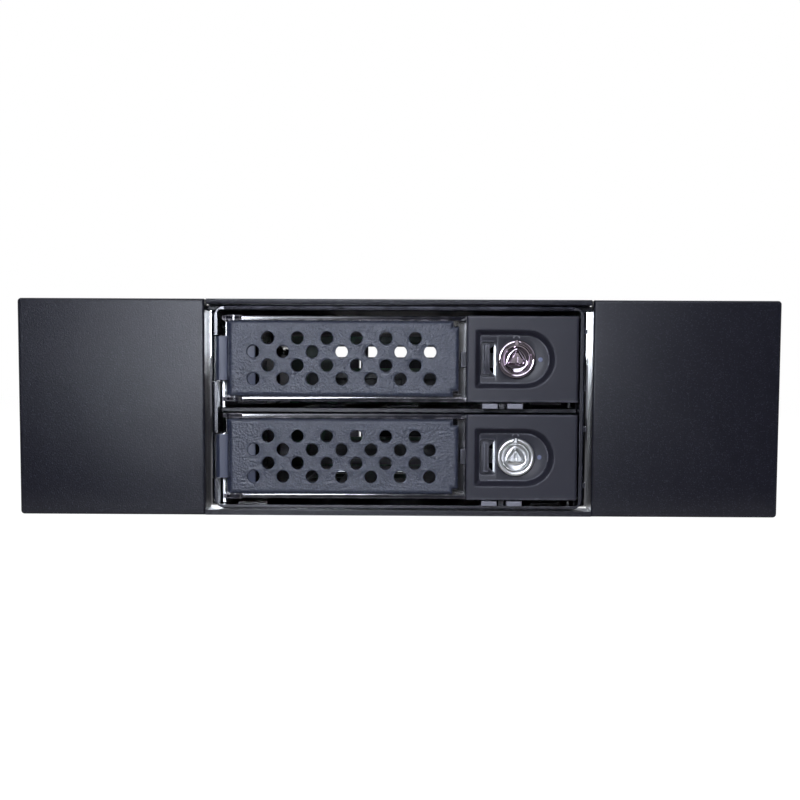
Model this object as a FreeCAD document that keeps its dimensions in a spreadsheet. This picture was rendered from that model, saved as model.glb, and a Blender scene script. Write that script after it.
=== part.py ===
import FreeCAD, Part
import math
import os
import re
import Sketcher

# A two-bay hot swap cage: it fills one half-height 5.25-inch bay and takes two 2.5-inch drives,
# each on its own tray with a hinged handle, a release slider and a key lock.
# Every piece is drawn in the cage's own frame and then placed. There, y is the depth behind the
# front plane. z is the height above the case's underside, or above a tray's own underside.

# ---------------------------------------------------------------- driving sizes, in millimetres

SIZES = {
    # the drive that each tray holds
    "drive_width": 69.85,
    "drive_length": 100.2,
    "drive_height": 15.0,
    "drive_hole_across": 61.72,
    "drive_hole_pitch": 76.6,
    "drive_hole_to_end": 14.0,
    "drive_hole_radius": 1.6,
    "drive_side_gap": 0.1,
    "drive_headroom": 1.1,
    "drive_front_gap": 1.4,
    # the outer case
    "case_width": 146.0,
    "side_overhang": 1.5,
    "sheet_wall": 1.0,
    "sheet_bend": 0.5,
    "front_corner": 0.7,
    "return_depth": 5.0,
    "lip_relief": 0.3,
    "wing_foot_inset": 2.0,
    "cover_flange": 8.0,
    "cover_flange_inset": 8.0,
    # screw holes for the 5.25-inch bay
    "bay_hole_radius": 1.25,
    "bay_hole_front": 47.4,
    "bay_hole_pitch": 79.25,
    "bay_hole_low": 10.0,
    "bay_hole_rise": 11.84,
    # vents in the case
    "vent_width": 3.0,
    "vent_length": 20.0,
    "vent_pitch": 8.0,
    "side_vent_low": 27.5,
    "side_vent_tall": 9.0,
    "side_vent_start": 78.0,
    "rear_vent_inset": 4.4,
    "rear_vent_pitch": 24.0,
    # the bright inner cage and its black front bezel
    "cage_wall": 0.8,
    "cage_bend": 0.6,
    "cage_gap": 0.1,
    "cage_play": 0.1,
    "flange_shown": 0.475,
    "flange_hidden": 3.0,
    "flange_recess": 4.5,
    "cage_window_tall": 7.0,
    "cage_window_long": 26.0,
    "cage_window_pitch": 34.0,
    "cage_window_start": 22.0,
    "bezel_recess": 3.0,
    "bezel_border": 0.8,
    "bezel_gap": 0.3,
    "bezel_corner": 2.2,
    "bezel_inner_corner": 0.5,
    "bezel_edge": 0.25,
    "bezel_cheek": 7.0,
    "bezel_snap": 0.5,
    "bezel_snap_tall": 0.9,
    "bezel_snap_spread": 5.6,
    "notch_gap": 0.3,
    # the shelf between the bays, and the guides
    "shelf_front": 8.0,
    "shelf_shoulder": 12.2,
    "shelf_tab_long": 8.0,
    "shelf_tab_start": 40.0,
    "shelf_tab_pitch": 55.0,
    "guide_gap": 0.25,
    "guide_tall": 4.0,
    "guide_lift": 2.0,
    "guide_front": 13.0,
    "guide_lead": 3.0,
    "guide_edge": 0.6,
    # light pipes, from the lights on the board to the front
    "pipe_width": 3.1,
    "pipe_height": 1.1,
    "pipe_gap": 0.2,
    "pipe_front": 1.6,
    "pipe_inset": 18.4,
    "pipe_pitch": 4.95,
    "pipe_edge": 0.25,
    "clip_width": 1.0,
    "clip_front": 3.6,
    "clip_depth": 5.0,
    "light_depth": 0.8,
    "light_width": 1.6,
    "light_height": 0.8,
    "light_gap": 0.3,
    # the backplane
    "board_wall": 1.6,
    "board_gap": 1.8,
    "board_side_gap": 0.4,
    "board_tab": 5.0,
    "board_hole_inset": 2.5,
    "board_hole_radius": 1.3,
    "board_window_width": 38.0,
    "board_window_tall": 6.5,
    "socket_width": 42.0,
    "socket_depth": 6.5,
    "socket_height": 6.4,
    "socket_lift": 1.2,
    "socket_inset": 9.1,
    "socket_clear": 0.9,
    "socket_slot_tall": 2.6,
    "socket_slot_depth": 5.2,
    "socket_power_slot": 22.0,
    "socket_data_slot": 11.0,
    "socket_slot_gap": 2.0,
    "port_depth": 10.5,
    "port_reach": 1.5,
    "port_height": 6.0,
    "data_port_width": 15.0,
    "data_port_inset": 16.7,
    "power_port_width": 25.0,
    "power_port_inset": 19.7,
    "port_wall": 1.2,
    "port_cavity": 6.0,
    "port_tongue": 1.2,
    "port_gap": 0.4,
    # the tray
    "tray_wall": 0.5,
    "tray_floor": 0.8,
    "tray_side_rise": 12.0,
    "tray_overlap": 6.0,
    "tray_lead": 5.0,
    "tray_arm_front": 8.4,
    "runner_gap": 0.15,
    "head_gap": 0.25,
    "tray_vent_width": 8.0,
    "tray_vent_long": 56.0,
    "tray_vent_pitch": 18.0,
    "tray_front_width": 69.7,
    "front_depth": 24.0,
    "rail_front": 3.4,
    "rail_wall": 0.9,
    "rail_edge": 0.3,
    "post_front": 8.5,
    "post_width": 6.85,
    "snap_across": 62.0,
    "snap_width": 6.0,
    "snap_depth": 2.4,
    "snap_fit": 0.1,
    "snap_hook": 0.6,
    # the hinged handle
    "handle_front": 1.6,
    "handle_wall": 1.0,
    "handle_length": 45.35,
    "handle_height": 14.8,
    "handle_inset": 1.35,
    "handle_flange": 1.8,
    "handle_flange_start": 6.0,
    "handle_bend": 0.8,
    "handle_notch": 1.1,
    "handle_hole_radius": 1.22,
    "handle_hole_pitch": 5.8,
    "handle_hole_shift": 0.4,
    "handle_row_pitch": 2.66,
    "tongue_depth": 4.4,
    "tongue_tall": 8.0,
    "tongue_window_tall": 3.6,
    "tongue_window_long": 2.0,
    "tongue_window_start": 1.2,
    "pivot_inset": 0.9,
    "pivot_depth": 4.2,
    "pin_radius": 0.8,
    "pin_fit": 0.05,
    "barrel_radius": 1.5,
    "barrel_end_gap": 0.3,
    "ear_radius": 1.8,
    "claw_reach": 3.75,
    "claw_tall": 8.6,
    "claw_back": 0.8,
    "claw_web": 1.4,
    "claw_split": 0.15,
    "pad_wall": 1.0,
    "pad_length": 5.2,
    # the lock block
    "lock_gap": 1.5,
    "lock_overhang": 0.4,
    "lock_front": 0.8,
    "lock_seat": 13.0,
    "lock_wall": 1.2,
    "lock_edge": 0.5,
    "recess_depth": 2.0,
    "recess_left": 1.85,
    "recess_width": 15.3,
    "recess_height": 11.1,
    "recess_slope": 0.7,
    "slot_left": 2.77,
    "slot_width": 3.1,
    "slot_height": 6.95,
    "lock_inset": 9.83,
    "lock_pocket_wall": 1.5,
    # the release slider
    "slider_gap": 0.1,
    "slider_wall": 1.2,
    "slider_left_gap": 0.4,
    "slider_length": 14.0,
    "slider_height": 10.4,
    "slider_clear": 0.5,
    "window_corner": 1.8,
    "slider_leg": 1.4,
    "slider_leg_tall": 4.0,
    "slider_lug": 1.0,
    "slider_lug_depth": 2.2,
    "slider_travel": 1.2,
    "ridge_width": 1.0,
    "ridge_shift": 0.3,
    "ridge_height": 5.8,
    "ridge_rise": 0.6,
    "nose_gap": 0.5,
    "nose_tall": 3.0,
    "nose_fit": 0.15,
    "spring_radius": 1.0,
    # the key lock
    "ring_radius": 3.75,
    "ring_rise": 1.3,
    "ring_edge": 0.35,
    "barrel_lock_radius": 3.4,
    "barrel_lock_fit": 0.05,
    "barrel_lock_end": 9.2,
    "lock_bore": 2.85,
    "plug_fit": 0.05,
    "plug_recess": 0.9,
    "plug_tail_end": 11.4,
    "plug_tail": 2.2,
    "post_base": 3.4,
    "post_height": 2.6,
    "post_rise": 1.0,
    "keyway_width": 0.7,
    "keyway_height": 1.4,
    "keyway_depth": 1.6,
    "index_width": 0.7,
    "index_depth": 0.7,
    "lock_clip_half": 4.3,
    "lock_clip_wall": 0.6,
    "lock_clip_gap": 0.3,
    "cam_gap": 0.3,
    "cam_wall": 1.2,
    "cam_hub": 2.6,
    "cam_reach": 5.2,
    "cam_width": 3.0,
    "cam_fit": 0.05,
    # screws
    "screw_radius": 1.2,
    "screw_head_radius": 2.2,
    "screw_head": 0.9,
    "screw_long": 4.0,
    "screw_fit": 0.1,
    "panel_flange": 8.0,
    "cover_screw_inset": 25.0,
}

# what follows from the driving sizes
LAYOUT = {
    "case_half": "case_width / 2",
    "front_half": "case_half + side_overhang",
    "tray_half": "drive_width / 2 + drive_side_gap + tray_wall",
    "bezel_in": "tray_half + bezel_gap",
    "bezel_out": "bezel_in + bezel_border",
    "cage_in": "bezel_out + cage_gap",
    "cage_out": "cage_in + cage_wall",
    "wing_in": "cage_out + flange_shown",
    "tray_height": "tray_floor + drive_height + drive_headroom",
    "mid": "tray_height / 2",
    "front_lift": "pipe_height + pipe_gap",
    "bay_pitch": "front_lift + tray_height + head_gap + cage_wall",
    "bay_floor": "sheet_wall + cage_wall",
    "case_height": "2 * sheet_wall + cage_wall + 2 * bay_pitch",
    "front_height": "case_height + sheet_wall",
    "case_inside": "case_height - sheet_wall",
    "drive_front": "front_depth + drive_front_gap",
    "drive_back": "drive_front + drive_length",
    "board_front": "drive_back + board_gap",
    "board_back": "board_front + board_wall",
    "port_end": "board_back + port_depth",
    "case_depth": "port_end - port_reach",
    "socket_face": "board_front - socket_depth",
    "tray_back": "socket_face - socket_clear",
    "pan_front": "front_depth - tray_overlap",
    "bezel_low": "sheet_wall + cage_play",
    "bezel_high": "case_height - cage_play",
    "cheek_end": "flange_recess + bezel_cheek",
    "front_in": "tray_front_width / 2",
    "handle_left": "handle_inset - front_in",
    "handle_right": "handle_left + handle_length",
    "handle_back": "handle_front + handle_wall",
    "handle_low": "mid - handle_height / 2",
    "handle_high": "mid + handle_height / 2",
    "pivot": "handle_left + pivot_inset",
    "lock_left": "handle_right + lock_gap",
    "lock_right": "front_in + lock_overhang",
    "lock_x": "lock_left + lock_inset",
    "recess_floor": "lock_front + recess_depth",
    "wall_back": "recess_floor + lock_wall",
    "slider_front": "wall_back + slider_gap",
    "slider_back": "slider_front + slider_wall",
    "slider_left": "lock_left + lock_wall + slider_left_gap",
    "slider_right": "slider_left + slider_length",
    "ring_front": "recess_floor - ring_rise",
    "plug_front": "ring_front + plug_recess",
    "cam_front": "barrel_lock_end + cam_gap",
    "cam_back": "cam_front + cam_wall",
    "spring_depth": "slider_back + spring_radius + slider_gap",
    "notch_end": "pivot_depth + claw_reach",
}

BAYS = {"lower": "bay_floor", "upper": "bay_floor + bay_pitch"}
SIDES = {"left": "-1", "right": "1"}
HOLES_PER_ROW = [7, 6, 7, 6]  # in the handle, from the lowest row up
HOLE_SIDES = 12  # few faces for small holes that repeat
HEAD_SIDES = 6
SIDE_VENTS = 6
TOP_VENTS = 8
REAR_VENTS = 3
CAGE_WINDOWS = 3
TRAY_VENTS = 3
SHELF_TABS = 2
FIT = 0.001  # how near an edge lies to the place it is picked by
BEYOND = 5.0  # how far a cut runs past the piece it opens

doc = FreeCAD.newDocument("HotSwapDriveCage")
sheet = doc.addObject("Spreadsheet::Sheet", "Sizes")
for row, (alias, size) in enumerate(SIZES.items(), start=1):
    sheet.set(f"A{row}", alias)
    sheet.set(f"B{row}", str(size))
    sheet.setAlias(f"B{row}", alias)
doc.recompute()

# ---------------------------------------------------------------- words for sizes


def formula(text):
    """A size given in words, such as 'case_width / 2', as an expression on the sheet."""

    def swap(found):
        word = found.group(0)
        if word in LAYOUT:
            return f"({formula(LAYOUT[word])})"
        return f"Sizes.{word}" if word in SIZES else word

    return re.sub(r"[a-z_]+", swap, str(text))


def mm(text):
    """The same size as a number."""
    return float(sheet.evalExpression(formula(text)))


def ordered(low, high):
    """The two sizes, the smaller first."""
    return (low, high) if mm(low) <= mm(high) else (high, low)


# ---------------------------------------------------------------- outlines for sketches


class Outline:
    """Sides and constraints for a sketch, handed over in one go."""

    def __init__(self, sketch):
        self.sketch = sketch
        self.constraints = []
        self.sizes = {}

    def line(self, start, end):
        """A straight side between two places in millimetres; its number comes back."""
        side = Part.LineSegment(FreeCAD.Vector(*start, 0), FreeCAD.Vector(*end, 0))
        return self.sketch.addGeometry(side, False)

    def circle(self, x, y, radius):
        """A whole circle."""
        centre = FreeCAD.Vector(x, y, 0)
        return self.sketch.addGeometry(Part.Circle(centre, FreeCAD.Vector(0, 0, 1), radius), False)

    def arc(self, x, y, radius, start, end):
        """Part of a circle, from the start angle to the end angle."""
        circle = Part.Circle(FreeCAD.Vector(x, y, 0), FreeCAD.Vector(0, 0, 1), radius)
        return self.sketch.addGeometry(Part.ArcOfCircle(circle, start, end), False)

    def rule(self, *what):
        """A constraint with no size of its own."""
        self.constraints.append(Sketcher.Constraint(*what))

    def size(self, text, *what):
        """A constraint whose size follows the sheet."""
        self.sizes[len(self.constraints)] = text
        self.constraints.append(Sketcher.Constraint(*what, mm(text)))

    def place(self, side, end, x=None, y=None):
        """Ties one end of a side, or a circle's centre, to a place."""
        for kind, text in (("DistanceX", x), ("DistanceY", y)):
            if text is not None:
                self.size(text, kind, -1, 1, side, end)

    def finish(self):
        """Hands the constraints to the sketch and binds their sizes."""
        before = self.sketch.ConstraintCount
        self.sketch.addConstraint(self.constraints)
        for number, text in self.sizes.items():
            self.sketch.setExpression(f"Constraints[{before + number}]", formula(text))


def polygon(*corners):
    """A closed outline with straight sides."""

    def draw(outline):
        points = [(mm(x), mm(y)) for x, y in corners]
        after = points[1:] + points[:1]
        sides = [outline.line(a, b) for a, b in zip(points, after)]
        for side, following in zip(sides, sides[1:] + sides[:1]):
            outline.rule("Coincident", side, 2, following, 1)
        for side, (x, y) in zip(sides, corners):
            outline.place(side, 1, x, y)

    return draw


def box(left, low, right, high):
    """A rectangle."""
    return polygon((left, low), (right, low), (right, high), (left, high))


def disc(x, y, radius):
    """A circle."""

    def draw(outline):
        number = outline.circle(mm(x), mm(y), mm(radius))
        outline.place(number, 3, x, y)
        outline.size(radius, "Radius", number)

    return draw


def even_sided(x, y, radius, sides):
    """A regular outline with its corners on a circle and one side level below."""
    turns = [2 * math.pi * (number + 0.5) / sides - math.pi / 2 for number in range(sides)]
    return polygon(
        *[(f"{x} + {math.cos(turn)} * {radius}", f"{y} + {math.sin(turn)} * {radius}") for turn in turns]
    )


def round_box(left, low, right, high, radius):
    """A rectangle with round corners."""

    def draw(outline):
        (west, east), (south, north) = ordered(left, right), ordered(low, high)
        x0, x1, y0, y1, r = mm(west), mm(east), mm(south), mm(north), mm(radius)
        quarter = math.pi / 2
        bottom = outline.line((x0 + r, y0), (x1 - r, y0))
        right_side = outline.line((x1, y0 + r), (x1, y1 - r))
        top = outline.line((x1 - r, y1), (x0 + r, y1))
        left_side = outline.line((x0, y1 - r), (x0, y0 + r))
        arcs = [
            outline.arc(x1 - r, y0 + r, r, -quarter, 0),
            outline.arc(x1 - r, y1 - r, r, 0, quarter),
            outline.arc(x0 + r, y1 - r, r, quarter, 2 * quarter),
            outline.arc(x0 + r, y0 + r, r, 2 * quarter, 3 * quarter),
        ]
        sides = [bottom, right_side, top, left_side]
        for side, arc, following in zip(sides, arcs, sides[1:] + sides[:1]):
            outline.rule("Tangent", side, 2, arc, 1)
            outline.rule("Tangent", arc, 2, following, 1)
        for side, kind in zip(sides, ("Horizontal", "Vertical", "Horizontal", "Vertical")):
            outline.rule(kind, side)
        for arc in arcs[1:]:
            outline.rule("Equal", arcs[0], arc)
        outline.size(radius, "Radius", arcs[0])
        outline.place(left_side, 1, x=west)
        outline.place(right_side, 1, x=east)
        outline.place(bottom, 1, y=south)
        outline.place(top, 1, y=north)

    return draw


def dee(left, low, high, right):
    """A flat left end and a half-round right end."""

    def draw(outline):
        x0, x1, y0, y1 = mm(left), mm(right), mm(low), mm(high)
        r = (y1 - y0) / 2
        bottom = outline.line((x0, y0), (x1 - r, y0))
        end = outline.arc(x1 - r, (y0 + y1) / 2, r, -math.pi / 2, math.pi / 2)
        top = outline.line((x1 - r, y1), (x0, y1))
        flat = outline.line((x0, y1), (x0, y0))
        outline.rule("Tangent", bottom, 2, end, 1)
        outline.rule("Tangent", end, 2, top, 1)
        outline.rule("Coincident", top, 2, flat, 1)
        outline.rule("Coincident", flat, 2, bottom, 1)
        outline.rule("Horizontal", top)
        outline.place(bottom, 1, left, low)
        outline.place(bottom, 2, f"{right} - ({high} - ({low})) / 2", low)
        outline.place(flat, 1, left, high)

    return draw


# ---------------------------------------------------------------- pieces


AXES = {"X": 0, "Y": 1, "Z": 2}
PLANE_OF = {"X": "YZ_Plane", "Y": "XZ_Plane", "Z": "XY_Plane"}
pieces = []


class Piece:
    """One sub-part: a body, and the sketches and features that shape it."""

    def __init__(self, label, lift="0"):
        self.body = doc.addObject("PartDesign::Body", label)
        self.body.Label = label
        self.body.AllowCompound = True
        self.body.setExpression("Placement.Base.y", formula("-port_end / 2"))
        self.body.setExpression("Placement.Base.z", formula(lift))
        pieces.append(self.body)

    def sketch(self, axis, level, outlines):
        """A sketch square to axis, at level along it."""
        role = PLANE_OF[axis]
        plane = next(f for f in self.body.Origin.OriginFeatures if f.Role == role)
        made = self.body.newObject("Sketcher::SketchObject", "Sketch")
        made.AttachmentSupport = (plane, "")
        made.MapMode = "FlatFace"
        # the XZ plane faces forwards, so its offset counts the other way
        away = f"-({formula(level)})" if axis == "Y" else formula(level)
        made.setExpression(".AttachmentOffset.Base.z", away)
        outline = Outline(made)
        for draw in outlines:
            draw(outline)
        outline.finish()
        made.Visibility = False
        return made

    def feature(self, kind, axis, low, high, outlines):
        """A pad or pocket that fills the stretch from low to high along axis."""
        low, high = ordered(low, high)
        start = high if axis == "Y" else low
        profile = self.sketch(axis, start, outlines)
        made = self.body.newObject(f"PartDesign::{kind}", kind)
        made.Profile = profile
        made.setExpression("Length", formula(f"({high}) - ({low})"))
        made.Reversed = kind == "Pocket"
        return made

    def add(self, axis, low, high, *outlines):
        """Material from low to high along axis."""
        return self.feature("Pad", axis, low, high, outlines)

    def cut(self, axis, low, high, *outlines):
        """An opening from low to high along axis."""
        return self.feature("Pocket", axis, low, high, outlines)

    def repeat(self, feature, axis, count, pitch):
        """Copies of a feature in a row along axis."""
        role = f"{axis}_Axis"
        line = next(f for f in self.body.Origin.OriginFeatures if f.Role == role)
        made = self.body.newObject("PartDesign::LinearPattern", "Row")
        made.Originals = [feature]
        made.Direction = (line, "")
        made.setExpression("Length", formula(f"{count - 1} * {pitch}"))
        made.Occurrences = count
        self.body.Tip = made
        return made

    def cut_loft(self, axis, low, high, first, last):
        """An opening whose outline changes from first, at low, to last, at high."""
        made = self.body.newObject("PartDesign::SubtractiveLoft", "SlopedPocket")
        made.Profile = self.sketch(axis, low, [first])
        made.Sections = [self.sketch(axis, high, [last])]
        made.Ruled = True
        return made

    def edge_names(self, chosen):
        """Names of the edges of the body so far that chosen picks."""
        doc.recompute(self.body.Group + [self.body])
        edges = self.body.Tip.Shape.Edges
        return [f"Edge{number}" for number, edge in enumerate(edges, start=1) if chosen(edge)]

    def dress(self, kind, size, chosen):
        """A fillet or chamfer on the edges that chosen picks."""
        names = self.edge_names(chosen)
        base = self.body.Tip
        made = self.body.newObject(f"PartDesign::{kind}", kind)
        made.Base = (base, names)
        made.setExpression("Radius" if kind == "Fillet" else "Size", formula(size))
        base.Visibility = False
        return made


def along(axis, *places):
    """Picks straight edges along axis that pass through one of places."""
    number = AXES[axis]
    others = [n for n in range(3) if n != number]
    wanted = [(mm(a), mm(b)) for a, b in places]

    def chosen(edge):
        if not isinstance(edge.Curve, Part.Line):
            return False
        points = [v.Point for v in edge.Vertexes]
        if abs(abs(points[0][number] - points[1][number]) - edge.Length) > FIT:
            return False
        here = [points[0][n] for n in others]
        return any(math.dist(here, place) < FIT for place in wanted)

    return chosen


def level_at(axis, level):
    """Picks edges that lie square to axis at level."""
    number, wanted = AXES[axis], mm(level)

    def chosen(edge):
        bounds = edge.BoundBox
        least = (bounds.XMin, bounds.YMin, bounds.ZMin)[number]
        most = (bounds.XMax, bounds.YMax, bounds.ZMax)[number]
        return abs(least - wanted) < FIT and abs(most - wanted) < FIT

    return chosen


def vent(x, y, across, high):
    """An opening in sheet metal, by its centre and its full width and height."""
    return box(f"{x} - {across} / 2", f"{y} - {high} / 2", f"{x} + {across} / 2", f"{y} + {high} / 2")


def spread(count, pitch):
    """Places of count copies at one pitch, centred on 0."""
    return [f"{number - (count - 1) / 2} * {pitch}" for number in range(count)]


def bay_lift(bay):
    """Height of a tray's own underside above the case's."""
    return f"{BAYS[bay]} + front_lift"


def bay_middle(bay):
    """Height of a bay's middle line above the case's underside."""
    return f"{BAYS[bay]} + front_lift + mid"


# ---------------------------------------------------------------- outer case


def bay_screw_places():
    """Depths and heights of the screw holes on each side of the case."""
    depths = [f"return_depth + bay_hole_front + {step} * bay_hole_pitch" for step in range(2)]
    heights = [f"bay_hole_low + {step} * bay_hole_rise" for step in range(2)]
    return [(depth, height) for depth in depths for height in heights]


def cover_screw_places():
    """Where the cover is screwed to the rear panel's top flange: x and depth."""
    depth = "case_depth - sheet_wall - panel_flange / 2"
    return [(f"{side} * (case_half - cover_screw_inset)", depth) for side in SIDES.values()]


def make_base_pan():
    """The folded tray of the case: its bottom, with the front lip, and both sides."""
    pan = Piece("base_pan")
    pan.add(
        "Z",
        "0",
        "sheet_wall",
        polygon(
            ("-wing_in", "0"),
            ("wing_in", "0"),
            ("wing_in", "sheet_wall"),
            ("case_half", "sheet_wall"),
            ("case_half", "case_depth - sheet_wall"),
            ("-case_half", "case_depth - sheet_wall"),
            ("-case_half", "sheet_wall"),
            ("-wing_in", "sheet_wall"),
        ),
    )
    for side in SIDES.values():
        inner, outer = f"{side} * (case_half - sheet_wall)", f"{side} * case_half"
        pan.add("X", inner, outer, box("sheet_wall", "0", "case_depth - sheet_wall", "case_inside"))
        holes = [disc(depth, height, "bay_hole_radius") for depth, height in bay_screw_places()]
        pan.cut("X", inner, outer, *holes)
        vents = [
            vent(f"side_vent_start + {step} * vent_pitch", "side_vent_low", "vent_width", "side_vent_tall")
            for step in range(SIDE_VENTS)
        ]
        pan.cut("X", inner, outer, *vents)
    bends = [(f"{side} * case_half", "0") for side in SIDES.values()]
    pan.dress("Fillet", "sheet_bend", along("Y", *bends))


def make_top_cover():
    """The lid: its front lip is joggled up to the height of the wings."""
    cover = Piece("top_cover")
    lip = "wing_in - lip_relief"
    cover.add(
        "Z",
        "case_inside",
        "case_height",
        polygon(
            ("-case_half", "sheet_wall"),
            ("-wing_in", "sheet_wall"),
            ("-wing_in", "return_depth"),
            ("wing_in", "return_depth"),
            ("wing_in", "sheet_wall"),
            ("case_half", "sheet_wall"),
            ("case_half", "case_depth"),
            ("-case_half", "case_depth"),
        ),
    )
    profile = polygon(
        ("0", "case_height"),
        ("return_depth", "case_height"),
        ("return_depth", "case_inside"),
        ("return_depth + sheet_wall", "case_inside"),
        ("return_depth + sheet_wall", "front_height"),
        ("0", "front_height"),
    )
    cover.add("X", f"-({lip})", lip, profile)
    for side in SIDES.values():
        inner = f"{side} * (case_half - 2 * sheet_wall)"
        outer = f"{side} * (case_half - sheet_wall)"
        flange = box(
            "cover_flange_inset",
            "case_inside - cover_flange",
            "case_depth - sheet_wall - panel_flange - cover_flange_inset / 2",
            "case_inside",
        )
        cover.add("X", inner, outer, flange)
    vents = [
        vent(f"{x}", "(drive_front + drive_back) / 2", "vent_width", "vent_length")
        for x in spread(TOP_VENTS, "vent_pitch")
    ]
    cover.cut("Z", "case_inside", "case_height", *vents)
    cover.cut("Z", "case_inside", "case_height", *cover_screw_holes())
    bends = [(f"{side} * case_half", "case_height") for side in SIDES.values()]
    cover.dress("Fillet", "sheet_bend", along("Y", *bends))


def cover_screw_holes():
    """Holes for the cover's screws."""
    radius = "(screw_radius + screw_fit)"
    return [even_sided(x, depth, radius, HOLE_SIDES) for x, depth in cover_screw_places()]


def make_wing(name, side):
    """One wide front panel of folded steel, with returns on all four edges."""
    wing = Piece(f"wing_{name}")
    inner, outer = f"{side} * wing_in", f"{side} * front_half"
    wing.add("Y", "0", "sheet_wall", box(inner, "0", outer, "front_height"))
    side_wall = box("0", "0", "return_depth", "front_height")
    wing.add("X", f"{side} * (front_half - sheet_wall)", outer, side_wall)
    wing.add("Z", "case_height", "front_height", box(inner, "0", outer, "return_depth"))
    hidden = f"{side} * (wing_in + sheet_wall)"
    wing.add("X", inner, hidden, box("0", "sheet_wall", "flange_recess", "case_inside"))
    foot_in = f"{side} * (cage_out + flange_hidden + wing_foot_inset)"
    foot_out = f"{side} * (case_half - sheet_wall - wing_foot_inset)"
    foot = box(foot_in, "sheet_wall / 2", foot_out, "return_depth + sheet_wall")
    wing.add("Z", "sheet_wall", "2 * sheet_wall", foot)
    corners = [(outer, "0"), (outer, "front_height")]
    wing.dress("Fillet", "front_corner", along("Y", *corners))
    wing.dress("Fillet", "sheet_bend", along("Z", (inner, "0"), (outer, "0")))


def port_places():
    """Each rear port's name, middle and width."""
    data_x = "data_port_inset - cage_in"
    return [
        ("data_port_upper", data_x, bay_middle("upper"), "data_port_width"),
        ("data_port_lower", data_x, bay_middle("lower"), "data_port_width"),
        ("power_inlet", "cage_in - power_port_inset", "case_height / 2", "power_port_width"),
    ]


def port_outline(x, z, width, spare="0"):
    """A port's outline, larger all round by spare."""
    across, tall = f"({width} / 2 + {spare})", f"(port_height / 2 + {spare})"
    return box(f"{x} - {across}", f"{z} - {tall}", f"{x} + {across}", f"{z} + {tall}")


def make_rear_panel():
    """The back of the case, with ports' openings, vents, and two lugs each below and above."""
    panel = Piece("rear_panel")
    panel.add(
        "Y",
        "case_depth - sheet_wall",
        "case_depth",
        box("-case_half", "0", "case_half", "case_inside"),
    )
    for side in SIDES.values():
        lug = box(
            f"{side} * (cage_out + flange_hidden)",
            "case_depth - sheet_wall - panel_flange",
            f"{side} * (case_half - sheet_wall - wing_foot_inset)",
            "case_depth - sheet_wall / 2",
        )
        panel.add("Z", "sheet_wall", "2 * sheet_wall", lug)
        panel.add("Z", "case_inside - sheet_wall", "case_inside", lug)
    openings = [port_outline(x, z, width, "port_gap") for _, x, z, width in port_places()]
    panel.cut("Y", "case_depth - sheet_wall", "case_depth", *openings)
    heights = ["sheet_wall + rear_vent_inset", "case_inside - rear_vent_inset"]
    vents = [
        vent(x, z, "vent_length", "vent_width")
        for x in spread(REAR_VENTS, "rear_vent_pitch")
        for z in heights
    ]
    panel.cut("Y", "case_depth - sheet_wall", "case_depth", *vents)
    panel.cut("Z", "case_inside - sheet_wall", "case_inside", *cover_screw_holes())


# ---------------------------------------------------------------- inner cage and bezel


def shelf_tab_starts():
    """Depths where the shelf's tabs start."""
    return [f"shelf_tab_start + {step} * shelf_tab_pitch" for step in range(SHELF_TABS)]


def board_screw_places():
    """Where the board is screwed to the cage's tabs, low at the left and high at the right."""
    x = "(cage_in - board_hole_inset)"
    return [(f"-{x}", bay_middle("lower")), (x, bay_middle("upper"))]


def board_screw_holes():
    """Holes for the board's screws."""
    return [even_sided(x, z, "board_hole_radius", HOLE_SIDES) for x, z in board_screw_places()]


def make_drive_cage():
    """The bright steel channel round both bays. Its front flanges show beside the bezel."""
    cage = Piece("drive_cage")
    top = "case_inside - cage_play"
    back = "board_back + board_gap"
    cage.add("Z", "sheet_wall", "bay_floor", box("-cage_out", "flange_recess", "cage_out", back))
    for side in SIDES.values():
        inner, outer = f"{side} * cage_in", f"{side} * cage_out"
        cage.add("X", inner, outer, box("flange_recess", "sheet_wall", back, top))
        far = f"{side} * (cage_out + flange_hidden)"
        cage.add("Y", "flange_recess", "flange_recess + cage_wall", box(inner, "sheet_wall", far, top))
        tab = f"{side} * (cage_in - board_tab)"
        tab_low, tab_high = "bay_floor", "case_inside - rear_vent_inset / 2"
        cage.add("Y", "board_front - cage_wall", "board_front", box(tab, tab_low, outer, tab_high))
        slots = [
            box(
                f"{start} - cage_play",
                "bay_floor + bay_pitch - cage_wall - cage_play",
                f"{start} + shelf_tab_long + cage_play",
                "bay_floor + bay_pitch + cage_play",
            )
            for start in shelf_tab_starts()
        ]
        cage.cut("X", inner, outer, *slots)
        windows = [
            vent(
                f"cage_window_start + cage_window_long / 2 + {step} * cage_window_pitch",
                f"{BAYS[bay]} + front_lift + tray_side_rise",
                "cage_window_long",
                "cage_window_tall",
            )
            for step in range(CAGE_WINDOWS)
            for bay in BAYS
        ]
        cage.cut("X", inner, outer, *windows)
    cage.cut("Y", "board_front - cage_wall", "board_front", *board_screw_holes())
    bends = [(f"{side} * cage_in", "flange_recess") for side in SIDES.values()]
    cage.dress("Fillet", "cage_bend", along("Z", *bends))


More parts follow.
